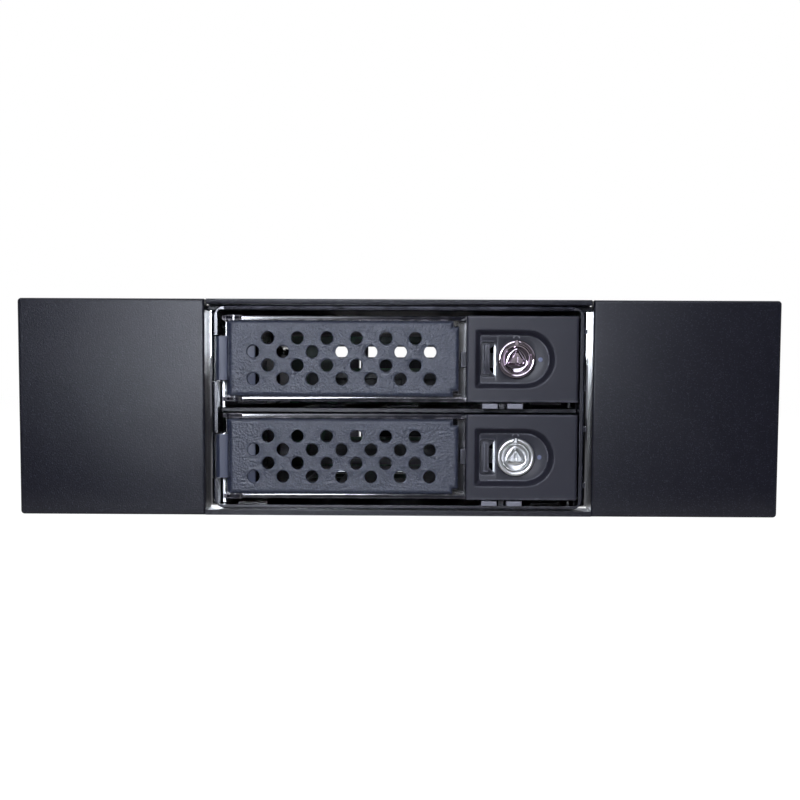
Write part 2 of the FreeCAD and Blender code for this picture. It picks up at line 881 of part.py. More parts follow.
def make_bezel_frame():
    """The black frame round the bays. Its left cheek is notched for the handles' claws."""
    bezel = Piece("bezel_frame")
    outline = round_box("-bezel_out", "bezel_low", "bezel_out", "bezel_high", "bezel_corner")
    opening_top = "bezel_high - bezel_border"
    opening = round_box("-bezel_in", "bay_floor", "bezel_in", opening_top, "bezel_inner_corner")
    bezel.add("Y", "bezel_recess", "flange_recess", outline)
    bezel.dress("Chamfer", "bezel_edge", level_at("Y", "bezel_recess"))
    bezel.cut("Y", "bezel_recess", "flange_recess", opening)
    for side in SIDES.values():
        cheek = box("flange_recess", "bay_floor + cage_play", "cheek_end", "case_inside - cage_play")
        bezel.add("X", f"{side} * bezel_in", f"{side} * bezel_out", cheek)
    tall = "(claw_tall / 2 + notch_gap)"
    far, near = f"-bezel_out - {BEYOND}", "-bezel_in + bezel_gap"
    notches = [box(far, f"{bay_middle(bay)} - {tall}", near, f"{bay_middle(bay)} + {tall}") for bay in BAYS]
    bezel.cut("Y", "bezel_recess", "notch_end", *notches)
    half = "bezel_snap_tall / 2"
    snaps = [
        box(
            "bezel_in + bezel_border / 2",
            f"{bay_middle(bay)} + {way} * bezel_snap_spread - {half}",
            "bezel_out + bezel_snap",
            f"{bay_middle(bay)} + {way} * bezel_snap_spread + {half}",
        )
        for bay in BAYS
        for way in (-1, 1)
    ]
    bezel.add("Y", "bezel_recess + bezel_edge", "flange_recess", *snaps)


def make_shelf():
    """The shelf between the bays, with tabs that sit in slots of the cage."""
    shelf = Piece("bay_shelf")
    low, high = "bay_floor + bay_pitch - cage_wall", "bay_floor + bay_pitch"
    narrow = "bezel_in - cage_play"
    back = "board_front - cage_wall - cage_play"
    shelf.add(
        "Z",
        low,
        high,
        polygon(
            (f"-({narrow})", "shelf_front"),
            (narrow, "shelf_front"),
            (narrow, "shelf_shoulder"),
            ("cage_in", "shelf_shoulder"),
            ("cage_in", back),
            ("-cage_in", back),
            ("-cage_in", "shelf_shoulder"),
            (f"-({narrow})", "shelf_shoulder"),
        ),
    )
    tabs = [
        box("-cage_out", start, "cage_out", f"{start} + shelf_tab_long")
        for start in shelf_tab_starts()
    ]
    shelf.add("Z", low, high, *tabs)
    shelf.cut("Z", low, high, *floor_vents("(drive_front + drive_back) / 2"))


def floor_vents(middle):
    """Long vents under a drive."""
    places = spread(TRAY_VENTS, "tray_vent_pitch")
    return [vent(x, middle, "tray_vent_width", "tray_vent_long") for x in places]


def make_guide(bay, name, side):
    """The rail that keeps a tray's side clear of the cage, with a tapered lead-in."""
    guide = Piece(f"guide_{bay}_{name}", BAYS[bay])
    near, far = f"{side} * (tray_half + guide_gap)", f"{side} * cage_in"
    profile = polygon(
        (near, "guide_front + guide_lead"),
        (near, "tray_back"),
        (far, "tray_back"),
        (far, "guide_front"),
        (f"{side} * (tray_half + guide_gap + guide_edge)", "guide_front"),
    )
    guide.add("Z", "guide_lift", "guide_lift + guide_tall", profile)


def pipe_left(number):
    """The left side of a light pipe."""
    return f"(front_in - pipe_inset + {number} * pipe_pitch)"


def make_light_pipe(bay, name, number):
    """A flat clear bar along the bay's floor, from the board's light to the front."""
    pipe = Piece(f"{name}_light_pipe_{bay}", BAYS[bay])
    left = pipe_left(number)
    back = "board_front - light_depth - light_gap"
    pipe.add("Z", "0", "pipe_height", box(left, "pipe_front", f"{left} + pipe_width", back))
    pipe.dress("Fillet", "pipe_edge", level_at("Y", "pipe_front"))


def make_pipe_clips():
    """The small saddles between the two pipes of each bay."""
    clips = Piece("light_pipe_clips")
    middle = f"({pipe_left(0)} + pipe_width + {pipe_left(1)}) / 2"
    for bay in BAYS:
        top = f"{BAYS[bay]} + pipe_height"
        saddle = box(f"{middle} - clip_width / 2", BAYS[bay], f"{middle} + clip_width / 2", top)
        clips.add("Y", "clip_front", "clip_front + clip_depth", saddle)


# ---------------------------------------------------------------- backplane


def make_board():
    """The backplane, with windows that let air through above each drive socket."""
    board = Piece("backplane_board")
    edge = "cage_in - board_side_gap"
    outline = box(f"-({edge})", "bay_floor + board_side_gap", edge, "case_inside - board_side_gap")
    board.add("Y", "board_front", "board_back", outline)
    windows = [
        vent("0", f"{bay_lift(bay)} + tray_side_rise", "board_window_width", "board_window_tall")
        for bay in BAYS
    ]
    board.cut("Y", "board_front", "board_back", *windows)
    board.cut("Y", "board_front", "board_back", *board_screw_holes())


def make_drive_socket(bay):
    """The socket that a drive plugs into, with its long power slot and short data slot."""
    socket = Piece(f"drive_socket_{bay}", bay_lift(bay))
    left = "-drive_width / 2 + socket_inset"
    low, high = "socket_lift", "socket_lift + socket_height"
    socket.add("Y", "socket_face", "board_front", box(left, low, f"{left} + socket_width", high))
    slot_low = "socket_lift + (socket_height - socket_slot_tall) / 2"
    slot_high = "socket_lift + (socket_height + socket_slot_tall) / 2"
    power = f"{left} + (socket_width - socket_power_slot - socket_data_slot - socket_slot_gap) / 2"
    data = f"{power} + socket_power_slot + socket_slot_gap"
    slots = [
        box(power, slot_low, f"{power} + socket_power_slot", slot_high),
        box(data, slot_low, f"{data} + socket_data_slot", slot_high),
    ]
    socket.cut("Y", "socket_face", "socket_face + socket_slot_depth", *slots)


def make_lights():
    """The four lights on the board, one behind each pipe."""
    lights = Piece("status_lights")
    boxes = []
    for lift in BAYS.values():
        for number in range(2):
            x = f"{pipe_left(number)} + pipe_width / 2"
            boxes.append(
                box(
                    f"{x} - light_width / 2",
                    f"{lift} + board_side_gap",
                    f"{x} + light_width / 2",
                    f"{lift} + board_side_gap + light_height",
                )
            )
    lights.add("Y", "board_front - light_depth", "board_front", *boxes)


def make_port(name, x, z, width):
    """A plug inlet on the back of the board, with a tongue inside its shroud."""
    port = Piece(name)
    port.add("Y", "board_back", "port_end", port_outline(x, z, width))
    inside = "-port_wall"
    port.cut("Y", "port_end - port_cavity", "port_end", port_outline(x, z, width, inside))
    tongue = box(
        f"{x} - {width} / 2 + 2 * port_wall",
        f"{z} - port_tongue / 2",
        f"{x} + {width} / 2 - 2 * port_wall",
        f"{z} + port_tongue / 2",
    )
    port.add("Y", "port_end - port_cavity - port_wall", "port_end - port_wall", tongue)


# ---------------------------------------------------------------- fasteners


def make_screws(label, axis, head_level, places):
    """Hex-head screws whose heads rest on head_level and whose shanks point against axis."""
    screws = Piece(label)
    shanks = [even_sided(a, b, "screw_radius", HOLE_SIDES) for a, b in places]
    screws.add(axis, f"{head_level} - screw_long", head_level, *shanks)
    heads = [even_sided(a, b, "screw_head_radius", HEAD_SIDES) for a, b in places]
    screws.add(axis, head_level, f"{head_level} + screw_head", *heads)


# ---------------------------------------------------------------- tray


def snap_outlines(spare="0"):
    """The hooks under the front, or with some spare the slots for them in the pan."""
    outlines = []
    for side in SIDES.values():
        x = f"{side} * snap_across / 2"
        low, high = "front_depth - snap_depth", "front_depth"
        outlines.append(
            box(
                f"{x} - snap_width / 2 - {spare}",
                f"{low} - {spare}",
                f"{x} + snap_width / 2 + {spare}",
                f"{high} + {spare}",
            )
        )
    return outlines


def drive_hole_places():
    """Where a drive is screwed to the tray's floor: x and depth."""
    back = "drive_back - drive_hole_to_end"
    depths = [back, f"{back} - drive_hole_pitch"]
    return [(f"{side} * drive_hole_across / 2", depth) for side in SIDES.values() for depth in depths]


def make_tray_pan(bay):
    """The sheet-steel pan under the drive: runners down each side and an arm beside the handle."""
    pan = Piece(f"tray_pan_{bay}", bay_lift(bay))
    pan.add("Z", "0", "tray_floor", box("-tray_half", "pan_front", "tray_half", "tray_back"))
    rise = "tray_floor + tray_side_rise"
    for side in SIDES.values():
        wall = polygon(
            ("pan_front", "runner_gap - front_lift"),
            ("tray_back", "runner_gap - front_lift"),
            ("tray_back", f"{rise} - tray_lead"),
            ("tray_back - tray_lead", rise),
            ("pan_front", rise),
        )
        pan.add("X", f"{side} * (tray_half - tray_wall)", f"{side} * tray_half", wall)
    arm = box("tray_arm_front", "runner_gap - front_lift", "pan_front", rise)
    pan.add("X", "-tray_half", "tray_wall - tray_half", arm)
    pan.cut("Z", "0", "tray_floor", *floor_vents("(drive_front + drive_back) / 2"))
    pan.cut("Z", "0", "tray_floor", *[disc(x, y, "drive_hole_radius") for x, y in drive_hole_places()])
    pan.cut("Z", "0", "tray_floor", *snap_outlines("snap_fit"))


def make_tray_front(bay):
    """The moulded front: rails above and below the handle, an air duct, and the lock's seat."""
    front = Piece(f"tray_front_{bay}", bay_lift(bay))
    front.add("Y", "rail_front", "front_depth", box("-front_in", "0", "front_in", "tray_height"))
    ears = disc("pivot", "pivot_depth", "ear_radius")
    front.add("Z", "0", "rail_wall", ears)
    front.add("Z", "tray_height - rail_wall", "tray_height", ears)
    top = "tray_height - rail_wall"
    front.cut("Y", "rail_front", "post_front", box(f"-front_in - {BEYOND}", "rail_wall", "lock_left", top))
    duct_low = "tray_floor + rail_wall"
    front.cut("Y", "post_front", "front_depth", box("post_width - front_in", duct_low, "handle_right", top))
    seat = box("lock_left", f"-{BEYOND}", f"front_in + {BEYOND}", f"tray_height + {BEYOND}")
    front.cut("Y", "rail_front", "lock_seat", seat)
    pocket = box(
        "lock_left + lock_pocket_wall",
        duct_low,
        "front_in - lock_pocket_wall",
        "tray_height - lock_pocket_wall",
    )
    front.cut("Y", "lock_seat", "front_depth - lock_pocket_wall", pocket)
    step = box(f"-front_in - {BEYOND}", "pan_front", f"front_in + {BEYOND}", f"front_depth + {BEYOND}")
    front.cut("Z", "0", "tray_floor", step)
    front.cut("Z", "0", "tray_height", disc("pivot", "pivot_depth", "pin_radius + pin_fit / 2"))
    front.add("Z", "-snap_hook", "tray_floor", *snap_outlines())
    edges = [("rail_front", "tray_height"), ("rail_front", "0")]
    front.dress("Fillet", "rail_edge", along("X", *edges))


def make_handle_pin(bay):
    """The steel pin that the handle turns on."""
    pin = Piece(f"handle_pin_{bay}", bay_lift(bay))
    pin.add("Z", "pin_fit", "tray_height - pin_fit", disc("pivot", "pivot_depth", "pin_radius"))


def make_handle_plate(bay):
    """The perforated plate: folded edges, four staggered rows of holes and a catch tongue."""
    plate = Piece(f"handle_plate_{bay}", bay_lift(bay))
    face = box("handle_left", "handle_low", "handle_right", "handle_high")
    plate.add("Y", "handle_front", "handle_back", face)
    fold_left = "handle_left + handle_flange_start"
    fold_right = "handle_right - handle_notch"
    fold_back = "handle_back + handle_flange"
    fold = box(fold_left, "handle_front", fold_right, fold_back)
    plate.add("Z", "handle_low", "handle_low + handle_wall", fold)
    plate.add("Z", "handle_high - handle_wall", "handle_high", fold)
    past_right = f"handle_right + {BEYOND}"
    corners = [
        box(fold_right, f"handle_low - {BEYOND}", past_right, "handle_low + handle_notch"),
        box(fold_right, "handle_high - handle_notch", past_right, f"handle_high + {BEYOND}"),
    ]
    plate.cut("Y", "handle_front", "handle_back", *corners)
    tongue = box(
        "handle_front",
        "mid - tongue_tall / 2",
        "handle_back + tongue_depth",
        "mid + tongue_tall / 2",
    )
    plate.add("X", "handle_right - handle_wall", "handle_right", tongue)
    start = "handle_back + tongue_window_start"
    window = vent(f"{start} + tongue_window_long / 2", "mid", "tongue_window_long", "tongue_window_tall")
    plate.cut("X", "handle_right - handle_wall", "handle_right", window)
    folds = [("handle_front", "handle_low"), ("handle_front", "handle_high")]
    plate.dress("Fillet", "handle_bend", along("X", *folds))
    plate.dress("Fillet", "handle_bend", along("Z", ("handle_right", "handle_front")))
    for count in set(HOLES_PER_ROW):
        centre = "handle_left + handle_length / 2 - handle_hole_shift"
        first = f"{centre} - {(count - 1) / 2} * handle_hole_pitch"
        rows = zip(spread(len(HOLES_PER_ROW), "handle_row_pitch"), HOLES_PER_ROW)
        heights = [f"mid + {z}" for z, holes in rows if holes == count]
        holes = [even_sided(first, z, "handle_hole_radius", HOLE_SIDES) for z in heights]
        pocket = plate.cut("Y", "handle_front", "handle_back", *holes)
        plate.repeat(pocket, "X", count, "handle_hole_pitch")


def make_handle_claw(bay):
    """The moulded hinge: a barrel on the pin, a pad under the plate and the short claw."""
    claw = Piece(f"handle_claw_{bay}", bay_lift(bay))
    low, high = "mid - claw_tall / 2", "mid + claw_tall / 2"
    claw.add("Z", low, high, disc("pivot", "pivot_depth", "claw_reach"))
    left, right = f"pivot - claw_reach - {BEYOND}", f"pivot + claw_reach + {BEYOND}"
    front, back = f"pivot_depth - claw_reach - {BEYOND}", f"pivot_depth + claw_reach + {BEYOND}"
    claw.cut("Z", low, high, box(left, front, right, "handle_front"))
    claw.cut("Z", low, high, box(left, "pivot_depth + claw_back", right, back))
    claw.cut("Z", low, high, box("handle_left - claw_split", front, right, "handle_back"))
    claw.cut("Z", low, high, box("pivot + claw_web", front, right, back))
    ends = "rail_wall + barrel_end_gap"
    claw.add("Z", ends, f"tray_height - ({ends})", disc("pivot", "pivot_depth", "barrel_radius"))
    pad_back = "handle_back + pad_wall"
    pad = box("handle_left + claw_split", "handle_back", "handle_left + pad_length", pad_back)
    claw.add("Z", "handle_low + handle_wall / 2", "handle_high - handle_wall / 2", pad)
    claw.cut("Z", "0", "tray_height", disc("pivot", "pivot_depth", "pin_radius + pin_fit"))


# ---------------------------------------------------------------- lock block


def make_lock_housing(bay):
    """The block at the right: a sloped recess for the key lock, and the slider's slot."""
    block = Piece(f"lock_housing_{bay}", bay_lift(bay))
    block.add("Y", "lock_front", "lock_seat", box("lock_left", "0", "lock_right", "tray_height"))
    edge_places = [("lock_left", "lock_front"), ("lock_right", "lock_front")]
    block.dress("Fillet", "lock_edge", along("Z", *edge_places))
    hollow = box("lock_left + lock_wall", "lock_wall", "lock_right - lock_wall", "tray_height - lock_wall")
    block.cut("Y", "wall_back", "lock_seat", hollow)
    left, right = "lock_left + recess_left", "lock_left + recess_left + recess_width"
    low, high = "mid - recess_height / 2", "mid + recess_height / 2"
    slope = "recess_slope"
    mouth = dee(left, low, high, right)
    floor = dee(f"{left} + {slope}", f"{low} + {slope}", f"{high} - {slope}", f"{right} - {slope}")
    block.cut_loft("Y", "lock_front", "recess_floor", mouth, floor)
    slot_x = "lock_left + slot_left"
    opening = box(slot_x, "mid - slot_height / 2", f"{slot_x} + slot_width", "mid + slot_height / 2")
    block.cut("Y", "recess_floor", "wall_back", opening)
    bore = disc("lock_x", "mid", "barrel_lock_radius + barrel_lock_fit")
    block.cut("Y", "recess_floor", "wall_back", bore)
    nose = box(
        "slider_front - nose_fit",
        "mid - nose_tall / 2 - nose_fit",
        "slider_back + nose_fit",
        "mid + nose_tall / 2 + nose_fit",
    )
    block.cut("X", "lock_left", "lock_left + lock_wall", nose)


def make_release_slider(bay):
    """The thumb slider: a plate round the lock, a ridge in the slot and a bolt for the handle."""
    slider = Piece(f"release_slider_{bay}", bay_lift(bay))
    low, high = "mid - slider_height / 2", "mid + slider_height / 2"
    slider.add("Y", "slider_front", "slider_back", box("slider_left", low, "slider_right", high))
    start = "lock_x - barrel_lock_radius - slider_travel - slider_clear"
    end = "lock_x + barrel_lock_radius + slider_clear"
    down, up = "mid - barrel_lock_radius - slider_clear", "mid + barrel_lock_radius + slider_clear"
    window = polygon(
        (f"{start} + window_corner", down),
        (end, down),
        (end, up),
        (f"{start} + window_corner", up),
        (start, f"{up} - window_corner"),
        (start, f"{down} + window_corner"),
    )
    slider.cut("Y", "slider_front", "slider_back", window)
    ridge_x = "lock_left + slot_left + slot_width / 2 - ridge_shift"
    ridge = box(
        f"{ridge_x} - ridge_width / 2",
        "mid - ridge_height / 2",
        f"{ridge_x} + ridge_width / 2",
        "mid + ridge_height / 2",
    )
    slider.add("Y", "recess_floor - ridge_rise", "slider_front", ridge)
    nose = box("handle_right + nose_gap", "mid - nose_tall / 2", "slider_left", "mid + nose_tall / 2")
    slider.add("Y", "slider_front", "slider_back", nose)
    foot, head = "mid - slider_leg_tall / 2", "mid + slider_leg_tall / 2"
    leg = box("slider_left", foot, "slider_left + slider_leg", head)
    slider.add("Y", "slider_back", "cam_back", leg)
    lug = box("slider_right - slider_lug", foot, "slider_right", head)
    slider.add("Y", "slider_back", "slider_back + slider_lug_depth", lug)


def make_slider_spring(bay):
    """The spring that pushes the slider towards the handle, as the plain rod that it fills."""
    spring = Piece(f"slider_spring_{bay}", bay_lift(bay))
    spring.add("X", "slider_right", "lock_right - lock_wall", disc("spring_depth", "mid", "spring_radius"))


def make_lock_barrel(bay):
    """The chrome ring and sleeve of the key lock, with an index notch at the top."""
    barrel = Piece(f"lock_barrel_{bay}", bay_lift(bay))
    barrel.add("Y", "ring_front", "recess_floor", disc("lock_x", "mid", "ring_radius"))
    barrel.add("Y", "recess_floor", "barrel_lock_end", disc("lock_x", "mid", "barrel_lock_radius"))
    barrel.dress("Chamfer", "ring_edge", level_at("Y", "ring_front"))
    barrel.cut("Y", "ring_front", "barrel_lock_end", disc("lock_x", "mid", "lock_bore"))
    notch = box(
        "lock_x - index_width / 2",
        "mid + lock_bore - index_depth / 2",
        "lock_x + index_width / 2",
        "mid + lock_bore + index_depth",
    )
    barrel.cut("Y", "ring_front", "ring_front + index_depth", notch)


def make_lock_clip(bay):
    """The push-on plate that holds the lock and the slider in the block."""
    clip = Piece(f"lock_clip_{bay}", bay_lift(bay))
    front = "slider_back + lock_clip_gap"
    half = "lock_clip_half"
    plate = box(f"lock_x - {half}", f"mid - {half}", f"lock_x + {half}", f"mid + {half}")
    hole = disc("lock_x", "mid", "barrel_lock_radius + barrel_lock_fit")
    clip.add("Y", front, f"{front} + lock_clip_wall", plate, hole)


def make_lock_plug(bay):
    """The turning plug, with a raised three-sided post and its keyway."""
    plug = Piece(f"lock_plug_{bay}", bay_lift(bay))
    core = disc("lock_x", "mid", "lock_bore - plug_fit")
    plug.add("Y", "plug_front", "barrel_lock_end + cam_gap / 2", core)
    foot = "mid - post_height / 3"
    post = polygon(
        ("lock_x - post_base / 2", foot),
        ("lock_x + post_base / 2", foot),
        ("lock_x", f"{foot} + post_height"),
    )
    plug.add("Y", "plug_front - post_rise", "plug_front", post)
    keyway = box(
        "lock_x - keyway_width / 2",
        f"{foot} + keyway_width / 2",
        "lock_x + keyway_width / 2",
        f"{foot} + keyway_width / 2 + keyway_height",
    )
    plug.cut("Y", "plug_front - post_rise", "plug_front - post_rise + keyway_depth", keyway)
    half = "plug_tail / 2"
    tail = box(f"lock_x - {half}", f"mid - {half}", f"lock_x + {half}", f"mid + {half}")
    plug.add("Y", "barrel_lock_end", "plug_tail_end", tail)


def make_lock_cam(bay):
    """The arm on the plug's tail that stands beside the slider's leg when it is locked."""
    cam = Piece(f"lock_cam_{bay}", bay_lift(bay))
    cam.add("Y", "cam_front", "cam_back", disc("lock_x", "mid", "cam_hub"))
    arm = box("lock_x - cam_reach", "mid - cam_width / 2", "lock_x", "mid + cam_width / 2")
    cam.add("Y", "cam_front", "cam_back", arm)
    half = "(plug_tail / 2 + cam_fit)"
    hole = box(f"lock_x - {half}", f"mid - {half}", f"lock_x + {half}", f"mid + {half}")
    cam.cut("Y", "cam_front", "cam_back", hole)


# ---------------------------------------------------------------- the whole cage


def make_tray(bay):
    """Every piece that leaves with one tray."""
    make_tray_pan(bay)
    make_tray_front(bay)
    make_handle_pin(bay)
    make_handle_plate(bay)
    make_handle_claw(bay)
    make_lock_housing(bay)
    make_release_slider(bay)
    make_slider_spring(bay)
    make_lock_barrel(bay)
    make_lock_clip(bay)
    make_lock_plug(bay)
    make_lock_cam(bay)


def make_cage():
    """Every piece that stays in the computer."""
    make_base_pan()
    make_top_cover()
    make_rear_panel()
    make_drive_cage()
    make_bezel_frame()
    make_shelf()
    for name, side in SIDES.items():
        make_wing(name, side)
        for bay in BAYS:
            make_guide(bay, name, side)
    for bay in BAYS:
        make_drive_socket(bay)
        for number, name in enumerate(("power", "activity")):
            make_light_pipe(bay, name, number)
    make_pipe_clips()
    make_board()
    make_lights()
    for name, x, z, width in port_places():
        make_port(name, x, z, width)
    make_screws("cover_screws", "Z", "case_height", cover_screw_places())
    make_screws("board_screws", "Y", "board_back", board_screw_places())


def check_model():
    """Stops if an object failed, a cut removed nothing or a piece isn't a valid solid."""
    failed = [thing for thing in doc.Objects if {"Invalid", "Error"} & set(thing.State)]
    for thing in failed:
        home = thing.getParentGeoFeatureGroup()
        print(f"failed: {thing.Name} in {home.Label if home else 'the document'}")
    if failed:
        raise ValueError(f"{len(failed)} objects failed")
    for body in pieces:
        for thing in body.Group:
            cuts = thing.TypeId in ("PartDesign::Pocket", "PartDesign::SubtractiveLoft")
            if cuts and thing.Shape.Volume >= thing.BaseFeature.Shape.Volume:
                raise ValueError(f"{thing.Name} in {body.Label} cuts nothing")
        if body.Shape.isNull() or not body.Shape.isValid() or body.Shape.Volume <= 0:
            raise ValueError(f"{body.Label} isn't a valid solid")


make_cage()
for bay_name in BAYS:
    make_tray(bay_name)
doc.recompute()
check_model()
os.makedirs("parts", exist_ok=True)
for body in pieces:
    body.Shape.exportStep(f"parts/{body.Label}.step")
print(len(pieces), "pieces")
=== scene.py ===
"""Dresses the hot swap drive cage: finer surfaces, finishes, a studio and the camera."""

from __future__ import annotations

import logging
import math
from dataclasses import dataclass, field
from enum import Enum

import bmesh
import bpy
import numpy as np
from mathutils import Matrix, Vector


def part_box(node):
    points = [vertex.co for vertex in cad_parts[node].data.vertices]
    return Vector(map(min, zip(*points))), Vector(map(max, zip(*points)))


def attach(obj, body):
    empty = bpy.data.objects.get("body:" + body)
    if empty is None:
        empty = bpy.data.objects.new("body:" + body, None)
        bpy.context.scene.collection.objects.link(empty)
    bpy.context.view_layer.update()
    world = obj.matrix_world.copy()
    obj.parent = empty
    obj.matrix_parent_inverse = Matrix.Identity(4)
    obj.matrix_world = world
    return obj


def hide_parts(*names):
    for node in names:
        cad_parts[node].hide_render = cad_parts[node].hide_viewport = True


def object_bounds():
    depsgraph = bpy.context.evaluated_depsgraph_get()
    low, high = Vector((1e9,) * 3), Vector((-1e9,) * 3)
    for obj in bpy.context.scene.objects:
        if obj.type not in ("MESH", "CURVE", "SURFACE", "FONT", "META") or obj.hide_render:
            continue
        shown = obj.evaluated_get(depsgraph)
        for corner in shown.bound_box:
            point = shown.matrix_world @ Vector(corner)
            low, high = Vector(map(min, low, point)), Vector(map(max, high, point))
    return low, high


log = logging.getLogger("drive_cage")
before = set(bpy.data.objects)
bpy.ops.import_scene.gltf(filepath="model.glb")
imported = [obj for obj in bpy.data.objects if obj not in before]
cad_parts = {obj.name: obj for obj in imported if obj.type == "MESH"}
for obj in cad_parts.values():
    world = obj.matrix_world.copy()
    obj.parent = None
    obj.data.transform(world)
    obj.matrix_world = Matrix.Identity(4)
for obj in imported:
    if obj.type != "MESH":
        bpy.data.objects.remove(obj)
CAD_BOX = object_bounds()

MM = 0.001
FRONT = CAD_BOX[0].y
TURN = 2 * math.pi
QUARTER = TURN / 4
WHITE = (1.0, 1.0, 1.0, 1.0)
DUST = (0.32, 0.31, 0.29, 1)
CLOUD_SHARES = (0.88, 1.12)
COAT_ROUGHNESS = 0.08
MERGE = 0.002 * MM
CAD_MERGE = 0.001 * MM


class Bay(Enum):
    """The two bays, by the ending of their nodes' names."""

    LOWER = "lower"
    UPPER = "upper"


# ---------------------------------------------------------------- node trees


class Tree:
    """Short calls that add nodes to a tree and join them."""

    def __init__(self, tree: bpy.types.NodeTree) -> None:
        """Keeps the tree to add to."""
        self.tree = tree

    def add(self, kind: str, inputs: dict | None = None, **settings: object) -> bpy.types.Node:
        """Adds a node.

        Args:
            kind: The node's full type name.
            inputs: Values or sockets for its inputs, by name or number.
            **settings: Its other properties.

        Returns:
            The node.
        """
        node = self.tree.nodes.new(kind)
        for name, value in settings.items():
            setattr(node, name, value)
        for name, value in (inputs or {}).items():
            if isinstance(value, bpy.types.NodeSocket):
                self.join(value, node.inputs[name])
            else:
                node.inputs[name].default_value = value
        return node

    def join(self, value: bpy.types.NodeSocket, socket: bpy.types.NodeSocket) -> None:
        """Joins an output to an input."""
        self.tree.links.new(value, socket)

    def math(self, operation: str, *values: object, clamp: bool = False) -> bpy.types.NodeSocket:
        """Adds a Math node on one to three values or sockets and returns its output."""
        inputs = dict(enumerate(values))
        return self.add("ShaderNodeMath", inputs, operation=operation, use_clamp=clamp).outputs[0]

    def mix(self, factor: object, first: object, second: object) -> bpy.types.NodeSocket:
        """Adds a colour Mix node and returns its output."""
        return self.add("ShaderNodeMix", {0: factor, 6: first, 7: second}, data_type="RGBA").outputs[2]

    def ramp(self, value: object, low: float, high: float) -> bpy.types.NodeSocket:
        """Maps low to 0 and high to 1, smoothly and clamped."""
        inputs = {0: value, 1: low, 2: high}
        return self.add("ShaderNodeMapRange", inputs, interpolation_type="SMOOTHSTEP").outputs[0]


class Effect:
    """A shader node group, built once, that several finishes share."""

    def __init__(self, name: str, inputs: dict[str, float | None], outputs: tuple[str, ...]) -> None:
        """Makes the group's sockets.

        Args:
            name: The group's name.
            inputs: Default values by input name, or None for a vector.
            outputs: The names of its values.
        """
        self.group = bpy.data.node_groups.new(name, "ShaderNodeTree")
        for label, value in inputs.items():
            kind = "NodeSocketVector" if value is None else "NodeSocketFloat"
            made = self.group.interface.new_socket(label, in_out="INPUT", socket_type=kind)
            if value is not None:
                made.default_value = value
        for label in outputs:
            self.group.interface.new_socket(label, in_out="OUTPUT", socket_type="NodeSocketFloat")
        self.tree = Tree(self.group)
        self.given = self.tree.add("NodeGroupInput").outputs
        self.sent = self.tree.add("NodeGroupOutput").inputs

    def send(self, name: str, value: bpy.types.NodeSocket) -> None:
        """Joins a socket to one of the group's outputs."""
        self.group.links.new(value, self.sent[name])

    def use(self, tree: Tree, inputs: dict) -> bpy.types.NodeOutputs:
        """Places the group in a material.

        Args:
            tree: The material's tree.
            inputs: Values or sockets for the group's inputs.

        Returns:
            The outputs of the group's node.
        """
        return tree.add("ShaderNodeGroup", inputs, node_tree=self.group).outputs


